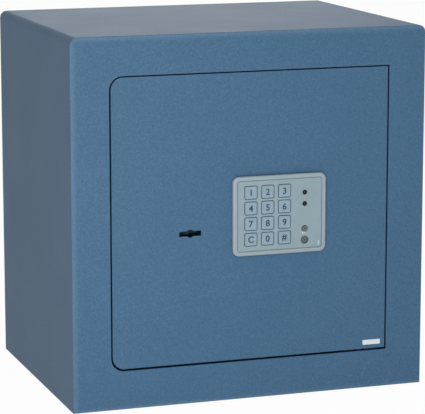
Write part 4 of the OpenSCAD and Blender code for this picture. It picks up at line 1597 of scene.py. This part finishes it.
    def rings(
        self, name: str, middles: list[tuple], size: tuple[float, float], corner: float, width: float
    ) -> bpy.types.Mesh:
        """Makes thin frames that face the front.

        Args:
            name: The tree's name.
            middles: The middle of each frame's rear face.
            size: Width and height inside a frame.
            corner: Radius of its inner corners.
            width: Width of its line.

        Returns:
            The frames as one mesh.
        """
        points = bpy.data.meshes.new(name + "_places")
        points.from_pydata(middles, [], [])
        sizes = {
            "Inner Width": size[0],
            "Inner Height": size[1],
            "Line Width": width,
            "Corner": corner,
            "Depth": self.print_depth,
            "Material": Look.LINE.material(),
        }
        tree = GeometryGraph(name, sizes)
        line = tree.given("Line Width")
        loops = []
        for share in (0, 1):
            sides = {
                "Width": tree.given("Inner Width") + 2 * share * line,
                "Height": tree.given("Inner Height") + 2 * share * line,
            }
            square = tree.value("GeometryNodeCurvePrimitiveQuadrilateral", {}, sides)
            radius = tree.given("Corner") + share * line
            fillet = {"Curve": square, "Count": self.corner_points, "Radius": radius}
            loops.append(tree.value("GeometryNodeFilletCurve", {"mode": "POLY"}, fillet))
        joined = tree.value("GeometryNodeJoinGeometry", {}, {0: loops})
        ring = tree.value("GeometryNodeFillCurve", {"mode": "TRIANGLES"}, {"Curve": joined})
        raising = {"Mesh": ring, "Offset Scale": tree.given("Depth"), "Individual": False}
        raised = tree.value("GeometryNodeExtrudeMesh", {"mode": "FACES"}, raising)
        upright = tree.moved(raised, (0.0, 0.0, 0.0), (math.radians(90), 0.0, 0.0))
        return tree.bake(upright, points)

    def build_marks(self) -> None:
        """Prints the small white mark in the panel's corner, and lays painted white highlights between
        the contacts.
        """
        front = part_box("keypad_panel")[0][1]
        mark_finishes = [Look.THIN_WHITE] + [Look.WHITE] * len(self.contact_highlights)
        for number, (ink, mark) in enumerate(zip(mark_finishes, (self.corner_mark, *self.contact_highlights)), 1):
            width, height, aside, up = mark
            name = f"panel_mark_{number}"
            centre = Vector((aside, front, up))
            mesh = film_mesh(name, (width, height), self.mark_corner, self.print_depth, centre)
            add_piece(name, mesh, ink, "door")


@dataclass
class FloorMat:
    """Felt mat on the base, with holes over the anchor bolts.

    Attributes:
        corner: Radius of its corners.
        hole_radius: Radius of each hole.
        hole_steps: Points round it.
        hole_margin: How far the other points of its mesh keep from a hole.
        hole_share: Share of a hole's radius within which a triangle's middle lies in the hole.
        hole_aside: How far the holes lie from the middle.
        mesh_step: Distance between the points of its mesh.
        soft_edge: How far its edge falls off.
        wave: How far its top is uneven.
        wave_sizes: Size of the waves of its top along X and Y.
        wave_start: Where the waves along Y begin, in radians.
        crease: Greatest angle between two faces that are shaded as one.
    """

    corner: float = 6 * MM
    hole_radius: float = 15 * MM
    hole_steps: int = 32
    hole_margin: float = 2 * MM
    hole_share: float = 0.98
    hole_aside: float = 100 * MM
    mesh_step: float = 6 * MM
    soft_edge: float = 0.9 * MM
    wave: float = 0.12 * MM
    wave_sizes: tuple[float, float] = (17 * MM, 23 * MM)
    wave_start: float = 1.0
    crease: float = math.radians(50)

    def build(self) -> None:
        """Cuts the mat and lays it on the base."""
        low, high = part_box("floor_mat")
        width, length = high[0] - low[0], high[1] - low[1]
        centre = Vector(middle("floor_mat")[:2])
        holes = [centre + Vector((side * self.hole_aside, 0)) for side in (-1, 1)]
        points, faces = self.cut(width, length, centre, holes)
        mesh = self.thicken(points, faces, low[2], high[2])
        mat = add_piece("felt_mat", mesh, Look.FELT, "body")
        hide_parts("floor_mat")

    def cut(
        self, width: float, length: float, centre: Vector, holes: list[Vector]
    ) -> tuple[list[Vector], list[list[int]]]:
        """Cuts the flat shape into triangles.

        Args:
            width: The mat's width.
            length: Its length.
            centre: Its middle.
            holes: The middles of its holes.

        Returns:
            Its points, and its triangles as numbers of points.
        """
        outline = [p + centre for p in rounded_outline(width, length, self.corner)]
        points = list(outline)
        edges = [(i, (i + 1) % len(outline)) for i in range(len(outline))]
        for hole in holes:
            first = len(points)
            for step in range(self.hole_steps):
                angle = math.tau * step / self.hole_steps
                points.append(hole + self.hole_radius * Vector((math.cos(angle), math.sin(angle))))
                edges.append((first + step, first + (step + 1) % self.hole_steps))
        columns = int(width / self.mesh_step)
        rows = int(length / self.mesh_step)
        for column in range(1, columns):
            for row in range(1, rows):
                aside = (column / columns - 0.5) * width
                along = (row / rows - 0.5) * length
                spot = centre + Vector((aside, along))
                if all((spot - hole).length > self.hole_radius + self.hole_margin for hole in holes):
                    points.append(spot)
        spots, _, faces, *_ = delaunay_2d_cdt(points, edges, [], 1, MERGE)
        open_radius = self.hole_share * self.hole_radius
        kept = []
        for face in faces:
            inside = sum((spots[i] for i in face), Vector((0, 0))) / len(face)
            if all((inside - hole).length > open_radius for hole in holes):
                kept.append(face)
        return spots, kept

    def thicken(
        self, points: list[Vector], faces: list[list[int]], bottom: float, top: float
    ) -> bpy.types.Mesh:
        """Gives the flat shape its thickness, a soft edge and a slightly uneven top.

        Args:
            points: Its points.
            faces: Its triangles.
            bottom: Height of its underside.
            top: Height of its top.

        Returns:
            The mesh.
        """
        def place(vert: bmesh.types.BMVert) -> tuple[float, float]:
            """Gives where a point lies, seen from above, to the micrometre."""
            return round(vert.co.x, 6), round(vert.co.y, 6)

        shape = bmesh.new()
        spots = [shape.verts.new((p.x, p.y, bottom)) for p in points]
        sheet = [shape.faces.new([spots[i] for i in face]) for face in faces]
        rim = {place(v) for e in shape.edges if e.is_boundary for v in e.verts}
        lifted = bmesh.ops.extrude_face_region(shape, geom=sheet)["geom"]
        across, along = self.wave_sizes
        for vert in (v for v in lifted if isinstance(v, bmesh.types.BMVert)):
            uneven = math.sin(vert.co.x / across) * math.sin(vert.co.y / along + self.wave_start)
            fall = self.soft_edge if place(vert) in rim else 0
            vert.co.z = top - self.wave * (1 + uneven) / 2 - fall
        bmesh.ops.recalc_face_normals(shape, faces=shape.faces)
        for face in shape.faces:
            face.smooth = True
        for edge in shape.edges:
            edge.smooth = edge.calc_face_angle(0) < self.crease
        return closed_mesh("felt_mat", shape)


def main() -> None:
    """Builds the studio and the sub-assemblies in order."""
    logging.basicConfig(level=logging.INFO, format="%(name)s: %(message)s")
    for part in (Studio(), Carcass(), Door(), LockWorks(), InnerCover(), Keypad(), FloorMat()):
        part.build()
        LOG.info("%s is built", type(part).__name__)


if __name__ == "__main__":
    main()
